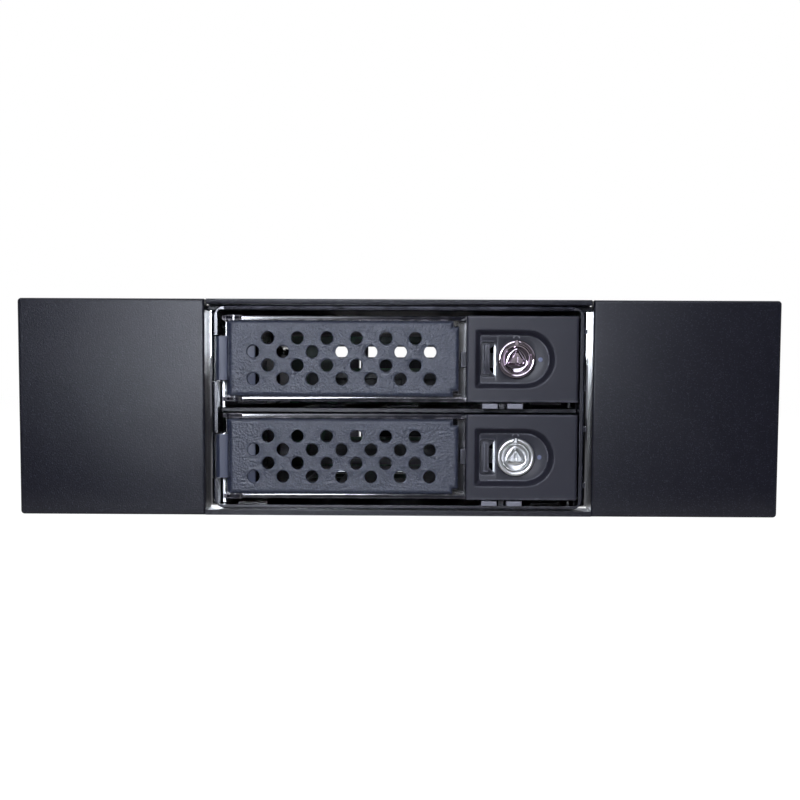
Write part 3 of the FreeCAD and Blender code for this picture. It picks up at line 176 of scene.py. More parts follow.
class Effects:
    """The groups that the finishes share: flecks, grain, brushing, lighter edges for scuffs and painted
    highlights, and dust.
    """

    def __init__(self) -> None:
        """Builds each group."""
        self.flecks = self._flecks()
        self.grain = self._grain()
        self.brushing = self._brushing()
        self.wear_and_highlight = self._wear_and_highlight()
        self.dust = self._dust()

    @staticmethod
    def _flecks() -> Effect:
        """Small bright cells, strewn at random, as in sparkle powder coat.

        Returns:
            The group, with a mask.
        """
        effect = Effect("Flecks", {"Vector": None, "Scale": 3000.0, "Share": 0.1}, ("Mask",))
        tree, given = effect.tree, effect.given
        cells = tree.add("ShaderNodeTexVoronoi", {"Vector": given["Vector"], "Scale": given["Scale"]})
        chance = tree.add("ShaderNodeSeparateColor", {0: cells.outputs["Color"]}).outputs[0]
        chosen = tree.math("LESS_THAN", chance, given["Share"])
        outside, inside = 0.55, 0.2
        near = tree.ramp(cells.outputs["Distance"], outside, inside)
        effect.send("Mask", tree.math("MULTIPLY", chosen, near))
        return effect

    @staticmethod
    def _grain() -> Effect:
        """Fine bumps, with slow changes over the surface as a second output.

        Returns:
            The group, with a height and a cloud.
        """
        effect = Effect("Grain", {"Vector": None, "Scale": 2500.0}, ("Height", "Cloud"))
        tree, given = effect.tree, effect.given
        inputs = {"Vector": given["Vector"], "Scale": given["Scale"], "Detail": 3.0}
        fine = tree.add("ShaderNodeTexNoise", inputs)
        slow = tree.add("ShaderNodeTexNoise", {"Vector": given["Vector"], "Scale": 45.0, "Detail": 4.0})
        effect.send("Height", fine.outputs["Fac"])
        effect.send("Cloud", slow.outputs["Fac"])
        return effect

    @staticmethod
    def _brushing() -> Effect:
        """Long fine lines along one axis, from noise that is drawn out by the vector's stretch.

        Returns:
            The group, with a height.
        """
        effect = Effect("Brushing", {"Vector": None, "Scale": 3500.0, "Draw": 0.02}, ("Height",))
        tree, given = effect.tree, effect.given
        parts = tree.add("ShaderNodeSeparateXYZ", {0: given["Vector"]}).outputs
        drawn = tree.math("MULTIPLY", parts["Y"], given["Draw"])
        vector = tree.add("ShaderNodeCombineXYZ", {0: parts["X"], 1: drawn, 2: parts["Z"]}).outputs[0]
        lines = tree.add("ShaderNodeTexNoise", {"Vector": vector, "Scale": given["Scale"], "Detail": 2.0})
        effect.send("Height", lines.outputs["Fac"])
        return effect

    @staticmethod
    def _wear_and_highlight() -> Effect:
        """1 along sharp edges, broken up by noise: where the rounded normal leaves the true one. The finishes
        lighten these edges for scuffs and for a painted highlight.

        Returns:
            The group, with a mask.
        """
        effect = Effect("EdgeWearAndHighlight", {"Vector": None, "Radius": 0.0003, "Break": 0.5}, ("Mask",))
        tree, given = effect.tree, effect.given
        soft = tree.add("ShaderNodeBevel", {"Radius": given["Radius"]}, samples=4).outputs[0]
        true = tree.add("ShaderNodeNewGeometry").outputs["Normal"]
        same = tree.add("ShaderNodeVectorMath", {0: soft, 1: true}, operation="DOT_PRODUCT").outputs["Value"]
        smooth, keen, solid = 0.995, 0.8, 0.75
        edge = tree.ramp(same, smooth, keen)
        rough = tree.add("ShaderNodeTexNoise", {"Vector": given["Vector"], "Scale": 350.0, "Detail": 5.0})
        broken_up = tree.ramp(rough.outputs["Fac"], given["Break"], solid)
        effect.send("Mask", tree.math("MULTIPLY", edge, broken_up))
        return effect

    @staticmethod
    def _dust() -> Effect:
        """A thin settled layer on what faces up, patchy.

        Returns:
            The group, with a mask.
        """
        effect = Effect("Dust", {"Vector": None, "Amount": 0.2}, ("Mask",))
        tree, given = effect.tree, effect.given
        normal = tree.add("ShaderNodeNewGeometry").outputs["Normal"]
        up = tree.add("ShaderNodeSeparateXYZ", {0: normal}).outputs["Z"]
        steep, level, thin, thick = 0.2, 0.9, 0.3, 0.75
        lies = tree.ramp(up, steep, level)
        patches = tree.add("ShaderNodeTexNoise", {"Vector": given["Vector"], "Scale": 120.0, "Detail": 6.0})
        patchy = tree.ramp(patches.outputs["Fac"], thin, thick)
        amount = tree.math("MULTIPLY", lies, given["Amount"])
        effect.send("Mask", tree.math("MULTIPLY", amount, patchy))
        return effect


# ---------------------------------------------------------------- finishes


def opened(name: str) -> tuple[bpy.types.Material, Tree, bpy.types.Node, bpy.types.NodeSocket]:
    """Starts a material.

    Args:
        name: The material's name.

    Returns:
        The material, its tree, its shader and its Object coordinates.
    """
    made = bpy.data.materials.new(name)
    made.use_nodes = True
    tree = Tree(made.node_tree)
    place = tree.add("ShaderNodeTexCoord").outputs["Object"]
    return made, tree, made.node_tree.nodes["Principled BSDF"], place


@dataclass(frozen=True)
class Finish:
    """One finish: its colour, its gloss and how strongly each shared effect shows.

    Lengths are in metres and colours are linear.
    """

    name: str
    colour: tuple[float, float, float]
    roughness: float = 0.5
    metallic: float = 0.0
    coat: float = 0.0
    specular: float = 0.5
    grain_scale: float = 2500.0
    grain_depth: float = 0.0
    brush_depth: float = 0.0
    fleck_share: float = 0.0
    fleck_scale: float = 3000.0
    fleck_colour: tuple[float, float, float] = (0.3, 0.3, 0.35)
    wear_and_highlight_colour: tuple[float, float, float] | None = None
    wear_and_highlight_radius: float = 0.00025
    wear_and_highlight_break: float = 0.5
    shift: float = 0.05
    dust: float = 0.0

    def material(self, effects: Effects) -> bpy.types.Material:
        """Builds the material.

        Args:
            effects: The shared node groups.

        Returns:
            The material, on Object coordinates.
        """
        made, tree, shader, place = opened(self.name)
        grain = effects.grain.use(tree, {"Vector": place, "Scale": self.grain_scale})
        dark, light = ((*(share * part for part in self.colour), 1) for share in CLOUD_SHARES)
        colour = tree.mix(grain["Cloud"], dark, light)
        if self.fleck_share:
            inputs = {"Vector": place, "Scale": self.fleck_scale, "Share": self.fleck_share}
            flecks = effects.flecks.use(tree, inputs)["Mask"]
            colour = tree.mix(flecks, colour, (*self.fleck_colour, 1))
        # Sharp edges take a lighter colour: scuffs, and a painted highlight along them.
        if self.wear_and_highlight_colour:
            inputs = {"Vector": place, "Radius": self.wear_and_highlight_radius, "Break": self.wear_and_highlight_break}
            edge_mask = effects.wear_and_highlight.use(tree, inputs)["Mask"]
            colour = tree.mix(edge_mask, colour, (*self.wear_and_highlight_colour, 1))
        if self.dust:
            dusty = effects.dust.use(tree, {"Vector": place, "Amount": self.dust})["Mask"]
            colour = tree.mix(dusty, colour, DUST)
        tree.join(colour, shader.inputs["Base Color"])
        least, spread = self.roughness - self.shift, 2 * self.shift
        rough = tree.math("MULTIPLY_ADD", grain["Cloud"], spread, least, clamp=True)
        tree.join(rough, shader.inputs["Roughness"])
        self._bump(effects, tree, shader, place, grain["Height"])
        shader.inputs["Metallic"].default_value = self.metallic
        shader.inputs["Coat Weight"].default_value = self.coat
        shader.inputs["Coat Roughness"].default_value = COAT_ROUGHNESS
        shader.inputs["Specular IOR Level"].default_value = self.specular
        return made

    def _bump(
        self,
        effects: Effects,
        tree: Tree,
        shader: bpy.types.Node,
        place: bpy.types.NodeSocket,
        height: bpy.types.NodeSocket,
    ) -> None:
        """Adds the grain's or the brushing's bump where the finish has one.

        Args:
            effects: The shared node groups.
            tree: The material's tree.
            shader: Its Principled BSDF.
            place: Its Object coordinates.
            height: The grain's height.
        """
        depth = self.grain_depth or self.brush_depth
        if not depth:
            return
        if self.brush_depth:
            height = effects.brushing.use(tree, {"Vector": place})["Height"]
        bump = tree.add("ShaderNodeBump", {"Strength": 1.0, "Distance": depth, "Height": height})
        tree.join(bump.outputs["Normal"], shader.inputs["Normal"])


@dataclass(frozen=True)
class BoardFinish:
    """Solder mask over copper tracks: the tracks follow the borders of stretched cells."""

    name: str = "solder_mask"
    mask: tuple[float, float, float] = (0.008, 0.05, 0.02)
    track: tuple[float, float, float] = (0.02, 0.11, 0.045)
    track_scale: float = 260.0
    track_edge: tuple[float, float] = (0.5, 0.54)
    track_height: float = 0.00003
    roughness: float = 0.35
    dust: float = 0.3
    dust_colour: tuple[float, float, float] = (0.3, 0.3, 0.28)

    def material(self, effects: Effects) -> bpy.types.Material:
        """Builds the material.

        Args:
            effects: The shared node groups.

        Returns:
            The material, on Object coordinates.
        """
        made, tree, shader, place = opened(self.name)
        inputs = {"Vector": place, "Scale": self.track_scale}
        cells = tree.add("ShaderNodeTexVoronoi", inputs, distance="CHEBYCHEV", feature="F1")
        tracks = tree.ramp(cells.outputs["Distance"], *self.track_edge)
        colour = tree.mix(tracks, (*self.mask, 1), (*self.track, 1))
        dusty = effects.dust.use(tree, {"Vector": place, "Amount": self.dust})["Mask"]
        colour = tree.mix(dusty, colour, (*self.dust_colour, 1))
        tree.join(colour, shader.inputs["Base Color"])
        inputs = {"Strength": 0.6, "Distance": self.track_height, "Height": tracks}
        bump = tree.add("ShaderNodeBump", inputs)
        tree.join(bump.outputs["Normal"], shader.inputs["Normal"])
        shader.inputs["Roughness"].default_value = self.roughness
        return made


# Lighter edges of the case's coat: scuffs, and a painted highlight along the lit edges.
COAT_EDGE_SCUFF_AND_HIGHLIGHT = (0.09, 0.09, 0.11)
FINISHES = (
    Finish(
        "case_powder_coat",
        (0.0038, 0.0038, 0.0068),
        roughness=0.32,
        specular=0.17,
        grain_scale=3600.0,
        grain_depth=0.00004,
        fleck_share=0.3,
        fleck_scale=4200.0,
        fleck_colour=(0.014, 0.0145, 0.021),
        wear_and_highlight_colour=COAT_EDGE_SCUFF_AND_HIGHLIGHT,
        dust=0.04,
    ),
    Finish(
        "handle_powder_coat",
        (0.014, 0.0165, 0.027),
        roughness=0.3,
        specular=0.28,
        grain_scale=2300.0,
        grain_depth=0.00016,
        fleck_share=0.5,
        fleck_scale=3600.0,
        fleck_colour=(0.034, 0.039, 0.06),
        # Pale blue edges round the holes: scuffs, and a painted highlight.
        wear_and_highlight_colour=(0.19, 0.2, 0.25),
        wear_and_highlight_radius=0.0004,
        wear_and_highlight_break=0.25,
    ),
    Finish("bright_steel", (0.8, 0.8, 0.8), roughness=0.03, metallic=1.0, shift=0.01),
    Finish("plated_steel", (0.42, 0.43, 0.44), roughness=0.3, metallic=1.0, brush_depth=0.000006, dust=0.1),
    Finish(
        "frame_plastic",
        (0.006, 0.006, 0.01),
        roughness=0.24,
        specular=0.5,
        grain_depth=0.000006,
        # Lighter frame edges: scuffs, and a painted highlight along the top bar.
        wear_and_highlight_colour=(0.1, 0.1, 0.13),
        wear_and_highlight_radius=0.0003,
        wear_and_highlight_break=0.2,
    ),
    Finish(
        "tray_plastic",
        (0.005, 0.005, 0.008),
        roughness=0.16,
        coat=0.6,
        # Pinkish white edges on the glossy rails: a painted highlight along them, with some scuffs.
        wear_and_highlight_colour=(0.4, 0.37, 0.41),
        wear_and_highlight_radius=0.0005,
        wear_and_highlight_break=0.35,
    ),
    Finish(
        "lock_plastic",
        (0.012, 0.0118, 0.017),
        roughness=0.38,
        specular=0.16,
        grain_depth=0.00002,
        grain_scale=3500.0,
        # Lighter rims: scuffs, and a painted highlight along the recess's lips.
        wear_and_highlight_colour=(0.17, 0.17, 0.2),
        wear_and_highlight_radius=0.0006,
        wear_and_highlight_break=0.2,
    ),
    Finish(
        "claw_plastic",
        (0.022, 0.026, 0.045),
        roughness=0.4,
        specular=0.25,
        grain_depth=0.000005,
        grain_scale=1800.0,
    ),
    Finish("guide_plastic", (0.45, 0.45, 0.43), roughness=0.45, grain_depth=0.000008),
    Finish("pipe_plastic", (0.12, 0.12, 0.14), roughness=0.2, coat=0.4, specular=0.4, shift=0.04),
    Finish("connector_plastic", (0.012, 0.012, 0.013), roughness=0.38, grain_depth=0.00001),
    Finish("light_resin", (0.8, 0.82, 0.78), roughness=0.12, coat=0.5),
    Finish("lock_chrome", (0.36, 0.31, 0.35), roughness=0.08, metallic=1.0, shift=0.03),
    # Near-black metal for the lock's sleeve and cam: painted shade, standing for the dark inside of the slot.
    Finish("zinc_painted_dark_as_shade", (0.05, 0.05, 0.055), roughness=0.5, metallic=1.0),
    Finish("lock_satin", (0.42, 0.42, 0.42), roughness=0.3, metallic=1.0, brush_depth=0.000004, shift=0.05),
    Finish("screw_steel", (0.35, 0.35, 0.36), roughness=0.28, metallic=1.0, wear_and_highlight_colour=(0.6, 0.6, 0.6)),
    Finish("mark_ink", (0.07, 0.07, 0.085), roughness=0.5),
    Finish("mark_blue", (0.05, 0.06, 0.12), roughness=0.4),
    BoardFinish(),
)


# ---------------------------------------------------------------- surfaces from grids


class Surface:
    """Grids of points, gathered into one mesh."""

    def __init__(self) -> None:
        """Starts empty."""
        self.points: list[np.ndarray] = []
        self.faces: list[list[int]] = []
        self.count = 0

    def grid(self, points: np.ndarray, around: bool = False, caps: bool = False) -> None:
        """Adds quads between neighbouring points.

        Args:
            points: Places in millimetres, shaped rows by columns by 3.
            around: Joins the last column to the first.
            caps: Closes the first and the last row with a face each.
        """
        rows, columns = points.shape[:2]
        number = np.arange(rows * columns).reshape(rows, columns) + self.count
        ends = number
        if around:
            number = np.hstack([number, number[:, :1]])
        corners = (number[:-1, :-1], number[1:, :-1], number[1:, 1:], number[:-1, 1:])
        self.faces += np.stack(corners, axis=-1).reshape(-1, 4).tolist()
        if caps:
            self.faces += [ends[0].tolist(), ends[-1, ::-1].tolist()]
        self.points.append(points.reshape(-1, 3))
        self.count += rows * columns

    def build(self, name: str, material: bpy.types.Material, sharp: float = 35.0) -> bpy.types.Object:
        """Makes the object, with its doubles merged and its faces outwards.

        Args:
            name: The piece's name.
            material: Its material.
            sharp: Edges that turn further than this many degrees stay sharp.

        Returns:
            The object, at the origin.
        """
        mesh = bpy.data.meshes.new(name)
        mesh.from_pydata((np.concatenate(self.points) * MM).tolist(), [], self.faces)
        shape = bmesh.new()
        shape.from_mesh(mesh)
        bmesh.ops.remove_doubles(shape, verts=shape.verts, dist=MERGE)
        bmesh.ops.recalc_face_normals(shape, faces=shape.faces)
        shape.to_mesh(mesh)
        shape.free()
        return placed(mesh, name, material, sharp)


def placed(mesh: bpy.types.Mesh, name: str, material: bpy.types.Material, sharp: float) -> bpy.types.Object:
    """Shades a mesh, gives it its material and puts its object in the scene.

    Args:
        mesh: The finished mesh.
        name: The piece's name.
        material: Its material.
        sharp: Edges that turn further than this many degrees stay sharp.

    Returns:
        The object, at the origin.
    """
    mesh.polygons.foreach_set("use_smooth", np.ones(len(mesh.polygons), dtype=bool))
    mesh.set_sharp_from_angle(angle=math.radians(sharp))
    mesh.materials.clear()
    mesh.materials.append(material)
    made = bpy.data.objects.new(name, mesh)
    bpy.context.scene.collection.objects.link(made)
    return made


def rounded_box(low: np.ndarray, high: np.ndarray, radius: float, steps: int = 3) -> np.ndarray:
    """A box with round edges.

    Each point is the corner of a smaller box, chosen by the signs of a direction, plus the radius along
    that direction. Directions run over a sphere, and each octant's border is there twice.

    Args:
        low: Its lowest corner, in millimetres.
        high: Its highest corner.
        radius: Of its edges.
        steps: Parts in a quarter turn.

    Returns:
        A grid to close around and cap.
    """
    quarter = np.linspace(0, QUARTER, steps + 1)
    turns = np.concatenate([quarter + part * QUARTER for part in range(4)])
    rises = np.concatenate([quarter - QUARTER, quarter])
    turn, rise = np.meshgrid(turns, rises)
    way = np.stack([np.cos(turn) * np.cos(rise), np.sin(turn) * np.cos(rise), np.sin(rise)], axis=-1)
    part = np.repeat(np.arange(4), steps + 1)[None, :] + np.zeros_like(rise, dtype=int)
    sign_x = np.where((part == 0) | (part == 3), 1.0, -1.0)
    sign_y = np.where(part < 2, 1.0, -1.0)
    sign_z = np.repeat([-1.0, 1.0], steps + 1)[:, None] + np.zeros_like(rise)
    signs = np.stack([sign_x, sign_y, sign_z], axis=-1)
    low, high = np.asarray(low, float), np.asarray(high, float)
    half = (high - low) / 2 - radius
    return (low + high) / 2 + signs * half + radius * way


def turned(profile: np.ndarray, x: float, z: float, columns: int = 64) -> np.ndarray:
    """A profile of radius and depth, turned about a line along Y.

    Args:
        profile: Radii and depths behind the front, in millimetres, shaped rows by 2.
        x: The line's place.
        z: The line's height.
        columns: Steps round the turn.

    Returns:
        A grid to close around.
    """
    turn = np.arange(columns) * TURN / columns
    radius, depth = profile[:, :1], profile[:, 1:]
    across = x + radius * np.cos(turn)
    up = z + radius * np.sin(turn)
    return np.stack([across, depth + FRONT / MM + 0 * across, up], axis=-1)


def fillet(size: float, steps: int = 4) -> np.ndarray:
    """Inset and depth of a rounded edge: size less size times sine and cosine of a quarter turn."""
    turn = np.linspace(0, QUARTER, steps + 1)
    return np.stack([size * (1 - np.sin(turn)), size * (1 - np.cos(turn))], axis=-1)


def round_rectangle(
    left: float, low: float, right: float, high: float, radius: float, steps: int = 8
) -> np.ndarray:
    """A rectangle's outline: four quarter turns, each about its own corner's centre.

    Args:
        left: Its left side, in millimetres.
        low: Its lower side.
        right: Its right side.
        high: Its upper side.
        radius: Of its corners.
        steps: Parts in each quarter turn.

    Returns:
        The outline.
    """
    quarter = np.linspace(0, QUARTER, steps + 1)
    centres = np.array(
        [
            [right - radius, high - radius],
            [left + radius, high - radius],
            [left + radius, low + radius],
            [right - radius, low + radius],
        ]
    )
    turn = quarter[None, :] + (np.arange(4) * QUARTER)[:, None]
    arcs = centres[:, None, :] + radius * np.stack([np.cos(turn), np.sin(turn)], axis=-1)
    return arcs.reshape(-1, 2)


def dee(left: float, low: float, right: float, high: float, radius: float) -> np.ndarray:
    """A flat left end with small round corners and a half-round right end.

    Args:
        left: Its left end, in millimetres.
        low: Its lower side.
        right: The half-round end's furthest point.
        high: Its upper side.
        radius: Of the left corners.

    Returns:
        The outline.
    """
    big = (high - low) / 2
    turn = np.linspace(-QUARTER, QUARTER, 33)
    end = np.stack([right - big + big * np.cos(turn), low + big + big * np.sin(turn)], axis=-1)
    corner = np.linspace(0, QUARTER, 9)
    top = [left + radius - radius * np.sin(corner), high - radius + radius * np.cos(corner)]
    foot = [left + radius - radius * np.cos(corner), low + radius - radius * np.sin(corner)]
    return np.concatenate([end, np.stack(top, axis=-1), np.stack(foot, axis=-1)])


def round_polygon(corners: np.ndarray, radius: float, steps: int = 6) -> np.ndarray:
    """A polygon with round corners.

    Each corner's arc has its centre on the corner's bisector, at the radius over the sine of half the
    corner's angle, and turns from one side's normal to the next.

    Args:
        corners: Its corners, anticlockwise, shaped count by 2.
        radius: Of the round corners.
        steps: Parts in each arc.

    Returns:
        The outline.
    """
    before = np.roll(corners, 1, axis=0) - corners
    after = np.roll(corners, -1, axis=0) - corners
    before /= np.linalg.norm(before, axis=1, keepdims=True)
    after /= np.linalg.norm(after, axis=1, keepdims=True)
    inwards = before + after
    inwards /= np.linalg.norm(inwards, axis=1, keepdims=True)
    half = np.arccos(np.clip((before * inwards).sum(1), -1, 1))
    centres = corners + inwards * (radius / np.sin(half))[:, None]
    middle = np.arctan2(-inwards[:, 1], -inwards[:, 0])
    spread = QUARTER - half
    turn = middle[:, None] + spread[:, None] * np.linspace(-1, 1, steps + 1)[None, :]
    arcs = centres[:, None, :] + radius * np.stack([np.cos(turn), np.sin(turn)], axis=-1)
    return arcs.reshape(-1, 2)


def by_angle(outline: np.ndarray, centre: tuple[float, float], turns: np.ndarray) -> np.ndarray:
    """The outline's points at given directions from a centre.

    Each direction's line meets the side between its two neighbouring points, at the side's cross product
    over the direction's. A side that lies along the direction gives its start instead.

    Args:
        outline: Its points, in order round the centre, shaped count by 2.
        centre: A point inside it, from which each point is seen.
        turns: The directions, in radians.

    Returns:
        One point for each direction.
    """
    away = outline - np.asarray(centre)
    angle = np.arctan2(away[:, 1], away[:, 0])
    order = np.argsort(angle)
    angle, away = angle[order], away[order]
    angle = np.concatenate([angle[-1:] - TURN, angle, angle[:1] + TURN])
    away = np.concatenate([away[-1:], away, away[:1]])
    number = np.clip(np.searchsorted(angle, turns, side="right") - 1, 0, len(angle) - 2)
    start, end = away[number], away[number + 1]
    way = np.stack([np.cos(turns), np.sin(turns)], axis=-1)
    side = end - start
    cross = way[:, 0] * side[:, 1] - way[:, 1] * side[:, 0]
    reach = start[:, 0] * side[:, 1] - start[:, 1] * side[:, 0]
    meets = np.abs(cross) > 1e-9
    length = np.where(meets, reach / np.where(meets, cross, 1), np.linalg.norm(start, axis=1))
    return np.asarray(centre) + way * length[:, None]


def directions(points: np.ndarray, centre: tuple[float, float], even: int = 0) -> np.ndarray:
    """The points' directions from a centre, in order, with some even ones between them.

    Args:
        points: Shaped count by 2.
        centre: The centre.
        even: How many evenly spread directions to add.

    Returns:
        The directions in radians, without repeats.
    """
    exact = np.arctan2(points[:, 1] - centre[1], points[:, 0] - centre[0])
    spread = np.linspace(-TURN / 2, TURN / 2, even + 1)[:-1]
    return np.unique(np.round(np.concatenate([exact, spread]), 9))


def layered(loops: list[tuple[np.ndarray, float]], lift: float = 0.0) -> np.ndarray:
    """Stacks loops, each at its own depth behind the front.

    Args:
        loops: Points of x and z, shaped count by 2, each with a depth in millimetres.
        lift: Added to every height.

    Returns:
        A grid to close around.
    """
    rows = [
        np.column_stack([loop[:, 0], np.full(len(loop), depth + FRONT / MM), loop[:, 1] + lift])
        for loop, depth in loops
    ]
    return np.stack(rows)


# ---------------------------------------------------------------- pieces


class Workshop:
    """Holds the materials and puts each piece on its body."""

    def __init__(self) -> None:
        """Builds the shared effects and every finish."""
        effects = Effects()
        self.materials = {finish.name: finish.material(effects) for finish in FINISHES}

    def dress(self, node: str, finish: str) -> None:
        """Gives a CAD node its finish.

        Args:
            node: The CAD node.
            finish: The finish's name.
        """
        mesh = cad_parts[node].data
        mesh.materials.clear()
        mesh.materials.append(self.materials[finish])

    def seat(self, piece: bpy.types.Object, body: str, slot: str, *nodes: str) -> bpy.types.Object:
        """Rides a piece on its body.

        Args:
            piece: The finished piece.
            body: The CAD body that carries it.
            slot: The record's material slot that its finish stands for; not used.
            *nodes: The CAD nodes that it replaces.

        Returns:
            The piece.
        """
        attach(piece, body)
        if nodes:
            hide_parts(*nodes)
        log.info("made %s on %s", piece.name, body)
        return piece

    def refined(self, node: str, finish: str, body: str, slot: str, edge: float = 0.12) -> bpy.types.Object:
        """Replaces a CAD node by a copy with merged corners and softly bevelled edges.

        Args:
            node: The CAD node.
            finish: The finish's name.
            body: The CAD body that carries it.
            slot: The record's material slot.
            edge: The bevel's width in millimetres.

        Returns:
            The copy.
        """
        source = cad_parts[node]
        shape = bmesh.new()
        shape.from_mesh(source.data)
        bmesh.ops.remove_doubles(shape, verts=shape.verts, dist=CAD_MERGE)
        bmesh.ops.dissolve_limit(shape, angle_limit=math.radians(1), verts=shape.verts, edges=shape.edges)
        mesh = bpy.data.meshes.new(f"{node}_finished")
        shape.to_mesh(mesh)
        shape.free()
        sharp = 40.0
        piece = placed(mesh, f"{node}_finished", self.materials[finish], sharp)
        bevel = piece.modifiers.new("SoftEdges", "BEVEL")
        bevel.width = edge * MM
        bevel.segments = 3
        bevel.limit_method = "ANGLE"
        bevel.angle_limit = math.radians(sharp)
        bevel.harden_normals = True
        return self.seat(piece, body, slot, node)


@dataclass
class CaseShell:
    """The folded outer case."""

    edge: float = 0.15
    nodes: tuple[str, ...] = ("base_pan", "top_cover", "wing_left", "wing_right")

    def build(self, shop: Workshop) -> None:
        """Softens the sheet metal's edges and coats it. The back stays as it is, with its many openings.

        Args:
            shop: Holds the finishes and seats the pieces.
        """
        shop.dress("rear_panel", "case_powder_coat")
        for node in self.nodes:
            shop.refined(node, "case_powder_coat", "housing", "case_paint", self.edge)


@dataclass
class InnerCage:
    """The bright channel, the frame, the shelf and what is fixed inside them. Sizes in millimetres."""

    edge: float = 0.1
    bezel_edge: float = 0.2
    bar: float = 0.8
    rim_rise: float = 0.12
    rim_crest: float = 0.06
    rim_top: float = 0.12
    rim_end: float = 2.6

    def build(self, shop: Workshop) -> None:
        """Dresses each fixed inner piece.

        Args:
            shop: Holds the finishes and seats the pieces.
        """
        shop.dress("drive_cage", "bright_steel")
        shop.refined("bay_shelf", "case_powder_coat", "housing", "case_paint", self.edge)
        shop.refined("bezel_frame", "frame_plastic", "housing", "bezel_plastic", self.bezel_edge)
        self._rim(shop)
        shop.dress("backplane_board", "solder_mask")
        shop.dress("status_lights", "light_resin")
        shop.dress("light_pipe_clips", "frame_plastic")
        for bay in Bay:
            shop.refined(f"drive_socket_{bay.value}", "connector_plastic", "housing", "connector", self.edge)
            for side in ("left", "right"):
                shop.dress(f"guide_{bay.value}_{side}", "guide_plastic")
            for name in ("power", "activity"):
                shop.dress(f"{name}_light_pipe_{bay.value}", "pipe_plastic")
        for name in ("data_port_lower", "data_port_upper", "power_inlet"):
            shop.refined(name, "connector_plastic", "housing", "port", self.edge)

    def _rim(self, shop: Workshop) -> None:
        """Makes the sloped face along the frame's top bar, from a crest at the opening back to the top.

        Args:
            shop: Holds the finishes and seats the pieces.
        """
        low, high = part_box("bezel_frame")
        half, top = high.x / MM - self.rim_end, high.z / MM
        near = low.y / MM
        crest = [-self.rim_rise, self.rim_crest - self.bar]
        section = np.array([[0.0, -self.bar], crest, [0.0, -self.rim_top]])
        across = np.linspace(-half, half, 40)[:, None]
        y = near + section[:, 0] + 0 * across
        z = top + section[:, 1] + 0 * across
        rim = Surface()
        rim.grid(np.stack([across + 0 * y, y, z], axis=-1), around=True, caps=True)
        piece = rim.build("frame_top_rim", shop.materials["frame_plastic"])
        shop.seat(piece, "housing", "bezel_plastic")


@dataclass
class Fasteners:
    """The cover's and the board's screws, with softened heads."""

    edge: float = 0.08

    def build(self, shop: Workshop) -> None:
        """Refines the screws."""
        shop.refined("cover_screws", "screw_steel", "housing", "screw", self.edge)
        shop.refined("board_screws", "screw_steel", "housing", "screw", self.edge)


@dataclass
class Tray:
    """One tray's pan and moulded front."""

    bay: Bay
    edge: float = 0.1
    rail_edge: float = 0.28

    def build(self, shop: Workshop) -> None:
        """Dresses the pan, the front and the small steel pieces.

        Args:
            shop: Holds the finishes and seats the pieces.
        """
        bay, body = self.bay.value, f"tray_{self.bay.value}"
        shop.refined(f"tray_pan_{bay}", "plated_steel", body, "tray_steel", self.edge)
        shop.refined(f"tray_front_{bay}", "tray_plastic", body, "tray_plastic", self.rail_edge)
        shop.dress(f"handle_pin_{bay}", "plated_steel")
        shop.dress(f"lock_clip_{bay}", "plated_steel")
        shop.dress(f"slider_spring_{bay}", "plated_steel")


